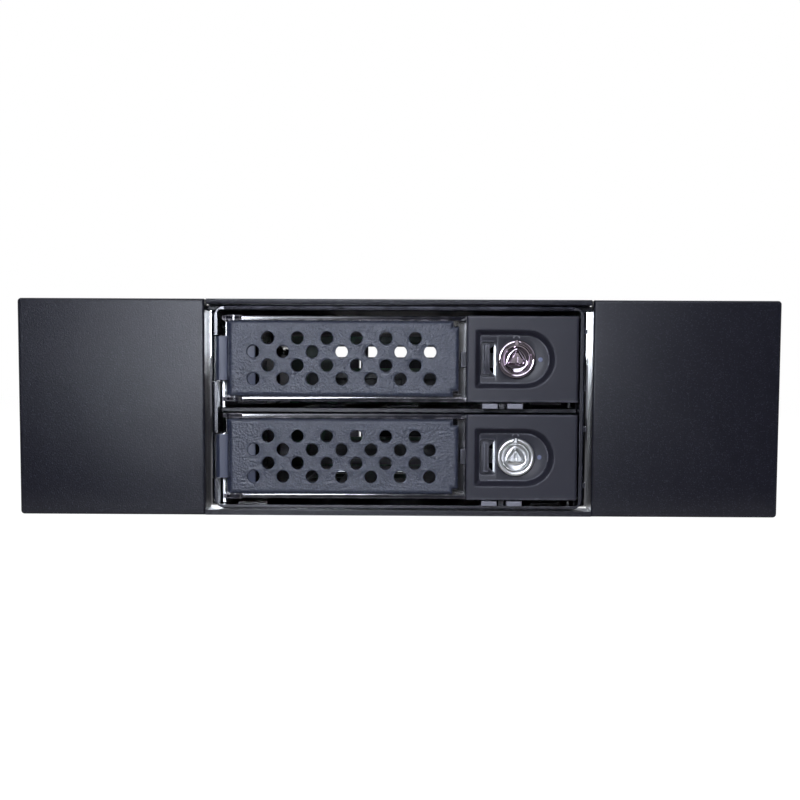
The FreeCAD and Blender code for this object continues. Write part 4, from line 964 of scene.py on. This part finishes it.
@dataclass
class Handle:
    """One hinged handle: the perforated plate and the moulded claw. Sizes are in millimetres."""

    bay: Bay
    hole_radius: float = 1.22
    hole_pitch: float = 5.8
    hole_shift: float = 0.4
    row_pitch: float = 2.66
    holes_per_row: tuple[int, ...] = (7, 6, 7, 6)
    wall: float = 1.0
    bend: float = 0.8
    rim: float = 0.2
    notch: float = 1.1
    burr: float = 0.1
    fold_start: float = 6.0
    fold_share: float = 0.6
    fold_reach: float = 1.8
    fold_corner: float = 0.15
    tongue_tall: float = 8.0
    steps: int = 12
    pivot_inset: float = 0.9
    pivot_depth: float = 4.2
    claw_reach: float = 3.75
    claw_tall: float = 8.6
    claw_corner: float = 0.75
    barrel_radius: float = 1.5
    barrel_profile: tuple[float, ...] = (0.85, 1.4, 1.5, 1.5, 1.4, 0.85, 0.85)
    barrel_edge: float = 0.1
    pad_length: float = 5.2
    pad_depth: float = 1.0
    pad_inset: float = 0.5
    pad_corner: float = 0.2
    claw_gap: float = 0.15
    left: float = field(init=False)
    right: float = field(init=False)
    low: float = field(init=False)
    high: float = field(init=False)
    middle: float = field(init=False)
    front: float = field(init=False)
    back: float = field(init=False)

    def build(self, shop: Workshop) -> None:
        """Makes the plate and the claw.

        Args:
            shop: Holds the finishes and seats the pieces.
        """
        bay, body = self.bay.value, f"handle_{self.bay.value}"
        low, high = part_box(f"handle_plate_{bay}")
        self.left, self.right = low.x / MM, high.x / MM
        self.low, self.high = low.z / MM, high.z / MM
        self.middle = (self.low + self.high) / 2
        self.front, self.back = (low.y - FRONT) / MM, (high.y - FRONT) / MM
        surface = Surface()
        self._holes(surface)
        self._border(surface)
        self._folds(surface)
        plate = surface.build(f"perforated_plate_{bay}", shop.materials["handle_powder_coat"])
        shop.seat(plate, body, "handle_paint", f"handle_plate_{bay}")
        claw = self._claw().build(f"hinge_claw_{bay}", shop.materials["claw_plastic"])
        shop.seat(claw, body, "claw_plastic", f"handle_claw_{bay}")

    def _field(self) -> tuple[float, float, float, float]:
        """The stretch that the holes' cells fill.

        Returns:
            Left, low, right and high, in millimetres.
        """
        x = (self.left + self.right) / 2 - self.hole_shift
        half = max(self.holes_per_row) * self.hole_pitch / 2, len(self.holes_per_row) * self.row_pitch / 2
        return x - half[0], self.middle - half[1], x + half[0], self.middle + half[1]

    def _holes(self, surface: Surface) -> None:
        """Adds each hole's cell, and plain half cells at the ends of the shorter rows.

        Args:
            surface: The plate so far.
        """
        left, low, right, _ = self._field()
        for row, count in enumerate(self.holes_per_row):
            z = low + (row + 0.5) * self.row_pitch
            spare = (max(self.holes_per_row) - count) * self.hole_pitch / 2
            for number in range(count):
                self._cell(surface, left + spare + (number + 0.5) * self.hole_pitch, z)
            if spare:
                for start in (left, right - spare):
                    self._blank(surface, start, start + spare, z)

    def _cell(self, surface: Surface, x: float, z: float) -> None:
        """Adds one hole and its cell: from the rectangle in to the rim, through the wall and out again.

        Args:
            surface: The plate so far.
            x: The hole's place.
            z: The hole's height.
        """
        centre = np.array([x, z])
        outline = centre + self._rectangle()
        turns = np.arctan2(outline[:, 1] - z, outline[:, 0] - x)
        even = turns[0] + np.arange(len(turns)) * TURN / len(turns)
        circle = np.stack([np.cos(even), np.sin(even)], axis=-1)
        hole = [(centre + (self.hole_radius + inset) * circle, depth) for inset, depth in fillet(self.rim)]
        front = [(loop, self.front + depth) for loop, depth in hole]
        back = [(loop, self.front + self.wall - depth) for loop, depth in hole[::-1]]
        near, far = (outline, self.front), (outline, self.front + self.wall)
        surface.grid(layered([near, *front, *back, far]), around=True)

    def _rectangle(self) -> np.ndarray:
        """A cell's outline about its own middle, with equal steps on each side.

        Returns:
            The outline, anticlockwise from its lower left corner.
        """
        share = np.arange(self.steps) / self.steps
        corners = np.array([[-1, -1], [1, -1], [1, 1], [-1, 1]]) * (self.hole_pitch / 2, self.row_pitch / 2)
        after = np.roll(corners, -1, axis=0)
        sides = corners[:, None, :] + (after - corners)[:, None, :] * share[None, :, None]
        return sides.reshape(-1, 2)

    def _blank(self, surface: Surface, left: float, right: float, z: float) -> None:
        """Adds a plain half cell, front and back, in the same steps as its neighbours.

        Args:
            surface: The plate so far.
            left: The half cell's left side.
            right: Its right side.
            z: Its middle height.
        """
        across = np.linspace(left, right, self.steps // 2 + 1)
        up = np.linspace(z - self.row_pitch / 2, z + self.row_pitch / 2, self.steps + 1)
        x, height = np.meshgrid(across, up)
        for depth in (self.front, self.front + self.wall):
            surface.grid(np.stack([x, 0 * x + depth + FRONT / MM, height], axis=-1))

    def _outline(self, inset: float) -> np.ndarray:
        """The plate's outline, with its two right corners notched.

        Args:
            inset: How far each side is drawn in, in millimetres.

        Returns:
            The outline's eight corners.
        """
        left, right = self.left + inset, self.right - inset
        low, high, notch = self.low + inset, self.high - inset, self.notch
        return np.array(
            [
                [left, low],
                [right - notch, low],
                [right - notch, low + notch],
                [right, low + notch],
                [right, high - notch],
                [right - notch, high - notch],
                [right - notch, high],
                [left, high],
            ]
        )

    def _inner(self) -> np.ndarray:
        """The outline of the holes' field, in the cells' own steps.

        Returns:
            The outline, anticlockwise from its lower left corner.
        """
        left, low, right, high = self._field()
        across = np.linspace(left, right, self.steps * max(self.holes_per_row) + 1)
        up = np.linspace(low, high, self.steps * len(self.holes_per_row) + 1)
        sides = (
            np.column_stack([across[:-1], np.full(len(across) - 1, low)]),
            np.column_stack([np.full(len(up) - 1, right), up[:-1]]),
            np.column_stack([across[:0:-1], np.full(len(across) - 1, high)]),
            np.column_stack([np.full(len(up) - 1, left), up[:0:-1]]),
        )
        return np.concatenate(sides)

    def _border(self, surface: Surface) -> None:
        """Adds the plate round the holes: front, bent edge, the wall's edge and back.

        Args:
            surface: The plate so far.
        """
        inner = self._inner()
        left, low, right, high = self._field()
        centre = ((left + right) / 2, (low + high) / 2)
        deep = self.front + self.wall
        burr = self.burr
        rows = [(inner, self.front), (self._outline(self.bend + burr / 2), self.front)]
        rows += [(self._outline(inset), self.front + depth) for inset, depth in fillet(self.bend, 6)]
        rows += [(self._outline(0.0), deep - burr), (self._outline(burr), deep), (inner, deep)]
        corners = np.concatenate([self._outline(inset) for inset in (0.0, self.bend)] + [inner])
        turns = directions(corners, centre)
        surface.grid(layered([(by_angle(loop, centre, turns), depth) for loop, depth in rows]), around=True)

    def _folds(self, surface: Surface) -> None:
        """Adds the two folded flanges and the catch tongue behind the plate.

        Args:
            surface: The plate so far.
        """
        start = self.front + self.bend * self.fold_share
        fold_left, fold_right = self.left + self.fold_start, self.right - self.notch
        plane = FRONT / MM
        fold_back = self.front + self.wall + self.fold_reach
        soft = self.fold_corner
        for low, high in ((self.low, self.low + self.wall), (self.high - self.wall, self.high)):
            near, far = (fold_left, plane + start, low), (fold_right, plane + fold_back, high)
            surface.grid(rounded_box(near, far, soft), around=True, caps=True)
        near = (self.right - self.wall, plane + start, self.middle - self.tongue_tall / 2)
        far = (self.right, plane + self.back, self.middle + self.tongue_tall / 2)
        surface.grid(rounded_box(near, far, soft), around=True, caps=True)

    def _claw(self) -> Surface:
        """Makes the claw: a flat-fronted disc section with round ends, a barrel and a pad.

        The section is drawn across and back, and stacked up z. Towards each end it is scaled about the
        pivot by 1 - c (1 - cos t) / r, with c the corner's size and r the claw's reach.

        Returns:
            The claw's surface.
        """
        x, reach = self.left + self.pivot_inset, self.claw_reach
        near = self.front - self.pivot_depth
        turn = np.linspace(math.asin(near / -reach), -math.asin(0.8 / reach), 15)
        arc = np.stack([x - reach * np.cos(turn), self.pivot_depth - reach * np.sin(turn)], axis=-1)
        right = self.left - self.claw_gap
        wall_end = self.front + self.wall
        rest = [[x + 1.4, self.pivot_depth + 0.8], [x + 1.4, wall_end], [right, wall_end]]
        lip = [[right, self.front + 0.25], [right - 0.07, self.front + 0.07], [right - 0.25, self.front]]
        section = np.concatenate([arc, rest, lip])
        quarter = np.linspace(0, QUARTER, 7)
        shrink = self.claw_corner * (1 - np.cos(quarter))
        half = self.claw_tall / 2 - self.claw_corner * (1 - np.sin(quarter[::-1]))
        heights = np.concatenate([-half[::-1], half])
        inset = np.concatenate([shrink[::-1], shrink])
        scale = 1 - inset / reach
        centre = np.array([x, self.pivot_depth])
        loops = centre + (section - centre)[None, :, :] * scale[:, None, None]
        up = np.broadcast_to(self.middle + heights[:, None], loops.shape[:2])
        surface = Surface()
        back = loops[..., 1] + FRONT / MM
        surface.grid(np.stack([loops[..., 0], back, up], axis=-1), around=True, caps=True)
        self._barrel(surface, x)
        low, high = self.low + self.pad_inset, self.high - self.pad_inset
        pad_low = (self.left + self.claw_gap, wall_end + FRONT / MM, low)
        pad_high = (self.left + self.pad_length, wall_end + self.pad_depth + FRONT / MM, high)
        surface.grid(rounded_box(pad_low, pad_high, self.pad_corner), around=True, caps=True)
        return surface

    def _barrel(self, surface: Surface, x: float) -> None:
        """Adds the barrel round the pin, with softened ends.

        Args:
            surface: The claw so far.
            x: The pin's place.
        """
        turn = np.arange(40) * TURN / 40
        low, high = self.low + self.claw_gap, self.high - self.claw_gap
        radius = np.array(self.barrel_profile)[:, None] * self.barrel_radius / max(self.barrel_profile)
        soft = self.barrel_edge
        up = np.array([low, low, low + soft, high - soft, high, high, low])[:, None] + 0 * turn
        across = x + radius * np.cos(turn)
        back = self.pivot_depth + FRONT / MM + radius * np.sin(turn)
        surface.grid(np.stack([across, back, up], axis=-1), around=True)


@dataclass
class LockBlock:
    """The block at a tray's right: its recess, slot, slider, marks and key lock. Sizes in millimetres."""

    bay: Bay
    recess_left: float = 1.85
    recess_width: float = 15.3
    recess_height: float = 11.1
    recess_slope: float = 0.45
    foot: float = 0.4
    recess_depth: float = 2.0
    recess_corner: float = 0.5
    slot_left: float = 2.77
    slot_width: float = 3.1
    slot_height: float = 6.95
    slot_corner: float = 0.5
    floor_split: float = 0.3
    hole_rim: float = 0.06
    hole_wall: float = 1.2
    lock_inset: float = 9.83
    bore: float = 3.45
    corner: float = 0.3
    lip: float = 0.35
    ring_radius: float = 3.75
    ring_bore: float = 2.85
    ring_rise: float = 1.3
    ring_crown: float = 0.4
    ring_seat: float = 0.5
    notch_depth: float = 0.55
    sleeve_radius: float = 3.4
    sleeve_end: float = 9.2
    plug_end: float = 9.3
    tail_end: float = 11.4
    tail_half: float = 1.1
    plug_recess: float = 0.9
    notch_width: float = 0.7
    dish: float = 0.22
    post_base: float = 3.4
    post_height: float = 2.7
    post_rise: float = 1.0
    post_corner: float = 0.32
    mark_radii: tuple[float, float] = (0.45, 0.7)
    mark_film: float = 0.03
    mark_rise: float = 4.15
    mark_reach: float = 4.75
    edge: float = 0.5
    left: float = field(init=False)
    right: float = field(init=False)
    low: float = field(init=False)
    high: float = field(init=False)
    front: float = field(init=False)
    back: float = field(init=False)
    x: float = field(init=False)
    z: float = field(init=False)
    floor: float = field(init=False)

    def build(self, shop: Workshop) -> None:
        """Makes the block, the slider's finish, the marks and the lock.

        Args:
            shop: Holds the finishes and seats the pieces.
        """
        bay, body = self.bay.value, f"tray_{self.bay.value}"
        low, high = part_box(f"lock_housing_{bay}")
        self.left, self.right = low.x / MM, high.x / MM
        self.low, self.high = low.z / MM, high.z / MM
        self.front = (low.y - FRONT) / MM
        self.back = (high.y - FRONT) / MM
        self.x, self.z = self.left + self.lock_inset, (self.low + self.high) / 2
        self.floor = self.front + self.recess_depth
        shop.refined(f"release_slider_{bay}", "lock_plastic", f"slider_{bay}", "lock_plastic", 0.12)
        self._block(shop, bay, body)
        self._lock(shop, bay, body)
        self._marks(shop, bay, body)

    def _block(self, shop: Workshop, bay: str, body: str) -> None:
        """Makes the block: its sides, rounded front, sloped recess and the floor round slot and lock.

        Args:
            shop: Holds the finishes.
            bay: The ending of the bay's nodes' names.
            body: The CAD body that carries the block.
        """
        surface = Surface()
        centre = (self.x, self.z)

        def outer(inset: float) -> np.ndarray:
            """The block's outline, drawn in by inset at its sides and half as much above and below."""
            rise = 0.5 * inset
            return round_rectangle(
                self.left + inset, self.low + rise, self.right - inset, self.high - rise, self.corner
            )

        def mouth(inset: float) -> np.ndarray:
            """The recess's outline, drawn in by inset."""
            left, low = self.left + self.recess_left + inset, self.z - self.recess_height / 2 + inset
            right = self.left + self.recess_left + self.recess_width - inset
            high = self.z + self.recess_height / 2 - inset
            return dee(left, low, right, high, self.recess_corner)

        rows = [(outer(0.0), self.back)]
        rows += [(outer(inset), self.front + depth) for inset, depth in fillet(self.edge, 5)[::-1]]
        rows += [(outer(self.edge + 0.1), self.front), (mouth(-self.lip - 0.1), self.front)]
        rows += [(mouth(-inset), self.front + depth) for inset, depth in fillet(self.lip, 4)]
        inset = self.recess_slope
        rows += [(mouth(inset + self.foot - out), self.floor - rise) for rise, out in fillet(self.foot, 4)]
        shown = np.concatenate([outer(0.0), outer(self.edge), mouth(0.0), mouth(inset)])
        turns = directions(shown, centre, 120)
        surface.grid(layered([(by_angle(loop, centre, turns), depth) for loop, depth in rows]), around=True)
        self._floor(surface, mouth(inset + self.foot))
        block = surface.build(f"lock_block_{bay}", shop.materials["lock_plastic"])
        shop.seat(block, body, "lock_plastic", f"lock_housing_{bay}")

    def _floor(self, surface: Surface, outline: np.ndarray) -> None:
        """Adds the recess's floor in two parts that meet on an upright line.

        Args:
            surface: The block so far.
            outline: The floor's edge. The left part goes round the slot, the right part round the lock.
        """
        split = self.left + self.slot_left + self.slot_width + self.floor_split
        low, high = outline[:, 1].min(), outline[:, 1].max()
        left = outline[:, 0].min()
        part = outline[outline[:, 0] > split]
        right_part = np.concatenate([part, [[split, high], [split, low]]])
        left_part = np.array([[left, low], [split, low], [split, high], [left, high]])
        near, far = self.left + self.slot_left, self.left + self.slot_left + self.slot_width
        half = self.slot_height / 2
        slot = round_rectangle(near, self.z - half, far, self.z + half, self.slot_corner)
        self._hole(surface, left_part, slot, ((near + far) / 2, self.z))
        turn = np.arange(72) * TURN / 72
        circle = (self.x, self.z) + self.bore * np.stack([np.cos(turn), np.sin(turn)], axis=-1)
        self._hole(surface, right_part, circle, (self.x, self.z))

    def _hole(
        self, surface: Surface, outer: np.ndarray, inner: np.ndarray, centre: tuple[float, float]
    ) -> None:
        """Adds the floor from an outline in to a hole with a soft rim, and the hole's wall.

        Args:
            surface: The block so far.
            outer: The floor's outline.
            inner: The hole's outline.
            centre: The hole's middle.
        """
        turns = directions(np.concatenate([outer, inner]), centre, 96)
        rim = by_angle(inner, centre, turns)
        wide = rim + (rim - centre) * (self.hole_rim / np.linalg.norm(rim - centre, axis=1))[:, None]
        loops = [
            (by_angle(outer, centre, turns), self.floor),
            (wide, self.floor),
            (0.7 * rim + 0.3 * wide, self.floor + 0.02),
            (rim, self.floor + self.hole_rim),
            (rim, self.floor + self.hole_wall),
        ]
        surface.grid(layered(loops), around=True)

    def _lock(self, shop: Workshop, bay: str, body: str) -> None:
        """Makes the ring and sleeve, and the turning plug with its three-sided post and keyway.

        Args:
            shop: Holds the finishes.
            bay: The ending of the bay's nodes' names.
            body: The CAD body that carries the ring and the sleeve.
        """
        front = self.floor - self.ring_rise
        outer, inner = self.ring_radius, self.ring_bore
        curve = np.linspace(0, TURN / 2, 13)
        half = (outer - inner) / 2
        rise = self.ring_crown
        crown = [inner + half + half * np.cos(curve), front + rise - rise * np.sin(curve)]
        crown = np.stack(crown, axis=-1)
        seat = self.floor + self.ring_seat
        foot = [[inner, seat], [outer, seat], [outer, self.floor]]
        points = turned(np.concatenate([[[outer, self.floor]], crown, foot]), self.x, self.z, 120)
        cut = front + self.notch_depth + FRONT / MM
        notched = (np.abs(points[..., 0] - self.x) < self.notch_width / 2) & (points[..., 2] > self.z)
        points[..., 1] = np.where(notched, np.maximum(points[..., 1], cut), points[..., 1])
        ring = Surface()
        ring.grid(points, around=True)
        sleeve = Surface()
        wide, end = self.sleeve_radius, self.sleeve_end
        tube = np.array([[inner, seat], [wide, seat], [wide, end], [inner, end], [inner, seat]])
        sleeve.grid(turned(tube, self.x, self.z, 64), around=True)
        # The sleeve is painted near black as the shade inside the slot.
        made = sleeve.build(f"lock_sleeve_{bay}", shop.materials["zinc_painted_dark_as_shade"])
        shop.seat(made, body, "lock_chrome")
        polished = "lock_chrome" if self.bay is Bay.UPPER else "lock_satin"
        made = ring.build(f"lock_ring_{bay}", shop.materials[polished])
        shop.seat(made, body, "lock_chrome", f"lock_barrel_{bay}")
        shop.refined(f"lock_cam_{bay}", "zinc_painted_dark_as_shade", f"key_{bay}", "lock_chrome", 0.1)
        plug = self._plug(front + self.plug_recess).build(f"lock_plug_turned_{bay}", shop.materials[polished])
        shop.seat(plug, f"key_{bay}", "lock_chrome", f"lock_plug_{bay}")

    def _plug(self, face: float) -> Surface:
        """Makes the plug: a dished disc with round triangles stacked to the post's top, and a square tail.

        Between the rim and the post, the face dips by d sin(pi s), where s runs from 0 to 1.

        Args:
            face: The face's depth behind the front, in millimetres.

        Returns:
            The plug's surface.
        """
        surface = Surface()
        radius = self.ring_bore - 0.05
        centre = np.array([self.x, self.z])
        turns = np.linspace(-TURN / 2, TURN / 2, 145)[:-1]
        circle = np.stack([np.cos(turns), np.sin(turns)], axis=-1)
        corners = np.array([[-0.5, -1 / 3], [0.5, -1 / 3], [0, 2 / 3]]) * (self.post_base, self.post_height)

        def triangle(scale: float) -> np.ndarray:
            """The post's rounded outline, at a share of its size."""
            outline = centre + round_polygon(corners * scale, self.post_corner)
            return by_angle(outline, centre, turns)

        rim, foot = centre + (radius - 0.3) * circle, triangle(1.12)
        share = np.linspace(0, 1, 7)[1:-1]
        dish = [((1 - s) * rim + s * foot, face + self.dish * math.sin(math.pi * s)) for s in share]
        slot = round_rectangle(self.x - 0.3, self.z - 0.62, self.x + 0.3, self.z + 0.72, 0.2)
        keyway = by_angle(slot, centre, turns)
        top = face - self.post_rise
        rows = [
            (centre + 0.3 * radius * circle, self.plug_end),
            (centre + radius * circle, self.plug_end),
            (centre + radius * circle, face + 0.05),
            (centre + (radius - 0.08) * circle, face - 0.06),
            (centre + (radius - 0.22) * circle, face - 0.06),
            (rim, face),
            *dish,
            (foot, face),
            (triangle(1.04), face - 0.12),
            (triangle(0.92), top + 0.12),
            (triangle(0.84), top),
            (centre + 1.12 * (keyway - centre), top),
            (keyway, top + 0.08),
            (keyway, face + 0.6),
        ]
        surface.grid(layered(rows), around=True, caps=True)
        half = self.tail_half
        low = (self.x - half, self.sleeve_end + FRONT / MM, self.z - half)
        high = (self.x + half, self.tail_end + FRONT / MM, self.z + half)
        surface.grid(rounded_box(low, high, 0.1), around=True, caps=True)
        return surface

    def _marks(self, shop: Workshop, bay: str, body: str) -> None:
        """Makes the two plain position marks on the floor, a half ring above the lock and a dot beside it.

        Args:
            shop: Holds the finishes.
            bay: The ending of the bay's nodes' names.
            body: The CAD body that carries the marks.
        """
        turn = np.linspace(0, TURN / 2, 25)
        inner, outer = self.mark_radii
        radii = np.array([inner, inner, outer, outer])
        depths = self.floor + np.array([0.0, -self.mark_film, -self.mark_film, 0.0])
        x = self.x + radii[:, None] * np.cos(turn)
        z = self.z + self.mark_rise + radii[:, None] * np.sin(turn)
        y = np.broadcast_to((depths + FRONT / MM)[:, None], x.shape)
        half_ring = Surface()
        half_ring.grid(np.stack([x, y, z], axis=-1))
        made = half_ring.build(f"lock_mark_open_{bay}", shop.materials["mark_ink"])
        shop.seat(made, body, "lock_plastic")
        dot = Surface()
        profile = np.array([[0.45, self.floor], [0.42, self.floor - 0.04], [0.0, self.floor - 0.05]])
        dot.grid(turned(profile, self.x + self.mark_reach, self.z, 24), around=True)
        made = dot.build(f"lock_mark_shut_{bay}", shop.materials["mark_blue"])
        shop.seat(made, body, "lock_plastic")


# ---------------------------------------------------------------- studio


@dataclass
class Studio:
    """A plain pale floor, glowing grey cards that paint reflections, lamps and the camera. Lengths are in
    metres, angles in degrees.
    """

    distance: float = 0.29
    camera_x: float = 0.0027
    camera_z: float = 0.024
    pitch: float = 5.01
    turn: float = 0.45
    roll: float = 0.27
    lens: float = 66.43
    shift: float = 0.15375
    clip: float = 0.01
    sky: float = 0.45
    floor_half: float = 6.0
    floor_grey: float = 0.85
    floor_glow: float = 1.15
    floor_share: float = 0.8
    # The cards glow only in reflections: painted reflections of a table and a wall, and a dark hood.
    card_near: float = 0.012
    card_lift: float = 0.0004
    card_far: float = 1.23
    card_half: float = 0.9
    card_tall: float = 0.06
    fade_near: float = 0.2
    fade_far: float = 0.62
    mat_bright: float = 0.115
    mat_dark: float = 0.022
    bright_tint: float = 1.08
    dark_tint: float = 1.15
    wall_grey: float = 0.155
    hood_half: float = 3.0
    hood_gap: float = 0.27
    hood_foot: float = 0.135
    hood_top: float = 1.8
    hood_grey: float = 0.03
    side_ahead: float = 0.01
    lamp_colour: tuple[float, float, float] = (0.84, 0.89, 1.0)
    lamps: tuple[tuple[str, tuple[float, float, float], float, float], ...] = field(
        default=(
            ("key", (-0.03, -0.55, 0.5), 0.4, 2.2),
            ("flash", (-0.047, -0.417, 0.07), 0.06, 1.0),
            ("brow", (-0.02, -0.55, 0.2), 0.2, 0.7),
            ("fill", (0.7, -0.5, 0.5), 0.6, 1.0),
            ("back", (0.1, 0.8, 0.7), 0.8, 3.0),
        )
    )

    def build(self) -> None:
        """Makes the world, the floor, the glowing cards that paint reflections, the lamps and the camera."""
        scene = bpy.context.scene
        scene.view_settings.view_transform = "Standard"
        self._world(scene)
        self._floor()
        self._reflection_cards()
        for name, place, size, power in self.lamps:
            self._lamp(name, place, size, power)
        self._camera(scene)
        log.info("made the studio")

    @staticmethod
    def _seen(tree: Tree) -> bpy.types.NodeSocket:
        """1 for rays from the camera and from mirror-like or clear surfaces.

        Args:
            tree: The tree to add to.

        Returns:
            A mask.
        """
        path = tree.add("ShaderNodeLightPath").outputs
        glossy = tree.math("MAXIMUM", path["Is Glossy Ray"], path["Is Transmission Ray"])
        return tree.math("MAXIMUM", path["Is Camera Ray"], glossy)

    def _world(self, scene: bpy.types.Scene) -> None:
        """A white surround to look at, and a plainer one for its light.

        Args:
            scene: The scene that it surrounds.
        """
        world = bpy.data.worlds.new("Studio")
        scene.world = world
        world.use_nodes = True
        tree = Tree(world.node_tree)
        shown = tree.add("ShaderNodeBackground", {"Color": WHITE, "Strength": 1.0}).outputs[0]
        light = tree.add("ShaderNodeBackground", {"Color": WHITE, "Strength": self.sky}).outputs[0]
        both = tree.add("ShaderNodeMixShader", {0: self._seen(tree), 1: light, 2: shown}).outputs[0]
        tree.join(both, tree.tree.nodes["World Output"].inputs["Surface"])

    @staticmethod
    def _sheet(name: str, corners: list[tuple[float, float, float]]) -> tuple[bpy.types.Object, Tree]:
        """Makes a flat sheet.

        Args:
            name: The name of the sheet and of its material.
            corners: Its four corners, in order.

        Returns:
            The sheet and its material's tree.
        """
        mesh = bpy.data.meshes.new(name)
        mesh.from_pydata(corners, [], [(0, 1, 2, 3)])
        sheet = bpy.data.objects.new(name, mesh)
        bpy.context.scene.collection.objects.link(sheet)
        material = bpy.data.materials.new(name)
        material.use_nodes = True
        mesh.materials.append(material)
        return sheet, Tree(material.node_tree)

    @staticmethod
    def _flat(half: float, near: float, far: float, height: float) -> list[tuple[float, float, float]]:
        """The corners of a level sheet that reaches half to either side."""
        return [(-half, far, height), (half, far, height), (half, near, height), (-half, near, height)]

    @staticmethod
    def _upright(
        left: float, right: float, depth: float, low: float, high: float
    ) -> list[tuple[float, float, float]]:
        """The corners of an upright sheet at one depth."""
        return [(left, depth, low), (right, depth, low), (right, depth, high), (left, depth, high)]

    def _floor(self) -> None:
        """A wide plain sheet that shows nearly white and keeps a soft shadow."""
        corners = self._flat(self.floor_half, self.floor_half, -self.floor_half, 0)
        floor, tree = self._sheet("studio_floor", corners)
        grey = (self.floor_grey, self.floor_grey, self.floor_grey, 1)
        plain = tree.add("ShaderNodeBsdfDiffuse", {"Color": grey}).outputs[0]
        glow = {"Color": WHITE, "Strength": self.floor_glow}
        white = tree.add("ShaderNodeEmission", glow).outputs[0]
        share = tree.math("MULTIPLY", self._seen(tree), self.floor_share)
        both = tree.add("ShaderNodeMixShader", {0: share, 1: plain, 2: white}).outputs[0]
        tree.join(both, tree.tree.nodes["Material Output"].inputs["Surface"])

    def _reflection_cards(self) -> None:
        """Makes grey sheets that glow only for mirror-like surfaces: painted reflections.

        A level mat lies before the cage, a painted reflection of a lit table's top that fades with distance
        from the front. A low wall stands at its far end, behind the camera, with a dark hood above it and a
        dark sheet on either side, which paint dark reflections where the white surround would show.
        """
        near, far = FRONT - self.card_near, FRONT - self.card_far
        half, wide, top = self.card_half, self.hood_half, self.hood_top
        ahead, dark_grey = far + self.side_ahead, self.hood_grey
        left, right = (
            self._upright(side * self.hood_gap, side * wide, ahead, 0, top) for side in (-1, 1)
        )
        wall = self._upright(-half, half, far, 0, self.card_tall)
        for name, corners, bright, dark in (
            ("painted_reflection_mat", self._flat(half, near, far, self.card_lift), self.mat_bright, self.mat_dark),
            ("painted_reflection_wall", wall, self.wall_grey, self.wall_grey),
            ("painted_shade_hood", self._upright(-wide, wide, far, self.hood_foot, top), dark_grey, dark_grey),
            ("painted_shade_left", left, dark_grey, dark_grey),
            ("painted_shade_right", right, dark_grey, dark_grey),
        ):
            card, tree = self._sheet(name, corners)
            place = tree.add("ShaderNodeTexCoord").outputs["Object"]
            depth = tree.add("ShaderNodeSeparateXYZ", {0: place}).outputs["Y"]
            share = tree.ramp(depth, FRONT - self.fade_far, FRONT - self.fade_near)
            low, high = (
                (grey, grey, tint * grey, 1)
                for grey, tint in ((dark, self.dark_tint), (bright, self.bright_tint))
            )
            # Each sheet glows with this tone for mirror-like rays only: a painted reflection, brighter near
            # the cage on the mat.
            tone = tree.mix(share, low, high)
            glow = tree.add("ShaderNodeEmission", {"Color": tone, "Strength": 1.0}).outputs[0]
            tree.join(glow, tree.tree.nodes["Material Output"].inputs["Surface"])
            card.visible_camera = card.visible_diffuse = False
            card.visible_shadow = card.visible_transmission = False

    def _lamp(self, name: str, place: tuple[float, float, float], size: float, power: float) -> None:
        """Makes a square lamp that faces the cage.

        Args:
            name: The lamp's name.
            place: Where it stands.
            size: The length of its sides.
            power: In watts.
        """
        data = bpy.data.lights.new(name, "AREA")
        data.size = size
        data.energy = power
        data.color = self.lamp_colour
        lamp = bpy.data.objects.new(name, data)
        lamp.location = place
        lamp.rotation_mode = "QUATERNION"
        lamp.rotation_quaternion = (-Vector(place)).to_track_quat("-Z", "Y")
        bpy.context.scene.collection.objects.link(lamp)

    def _camera(self, scene: bpy.types.Scene) -> None:
        """A camera level with the front, tipped down a little.

        Args:
            scene: The scene that it shows.
        """
        data = bpy.data.cameras.new("camera")
        data.lens = self.lens
        data.shift_y = self.shift
        data.clip_start = self.clip
        camera = bpy.data.objects.new("camera", data)
        camera.location = (self.camera_x, FRONT - self.distance, self.camera_z)
        pitch, turn = math.radians(90 - self.pitch), math.radians(self.turn)
        aimed = Matrix.Rotation(turn, 3, "Z") @ Matrix.Rotation(pitch, 3, "X")
        rolled = aimed @ Matrix.Rotation(math.radians(self.roll), 3, "Z")
        camera.rotation_euler = rolled.to_euler()
        scene.collection.objects.link(camera)
        scene.camera = camera


def main() -> None:
    """Builds every sub-assembly, then the studio."""
    logging.basicConfig(level=logging.INFO, format="%(message)s")
    shop = Workshop()
    CaseShell().build(shop)
    InnerCage().build(shop)
    Fasteners().build(shop)
    for bay in Bay:
        Tray(bay).build(shop)
        Handle(bay).build(shop)
        LockBlock(bay).build(shop)
    Studio().build()


if __name__ == "__main__":
    main()
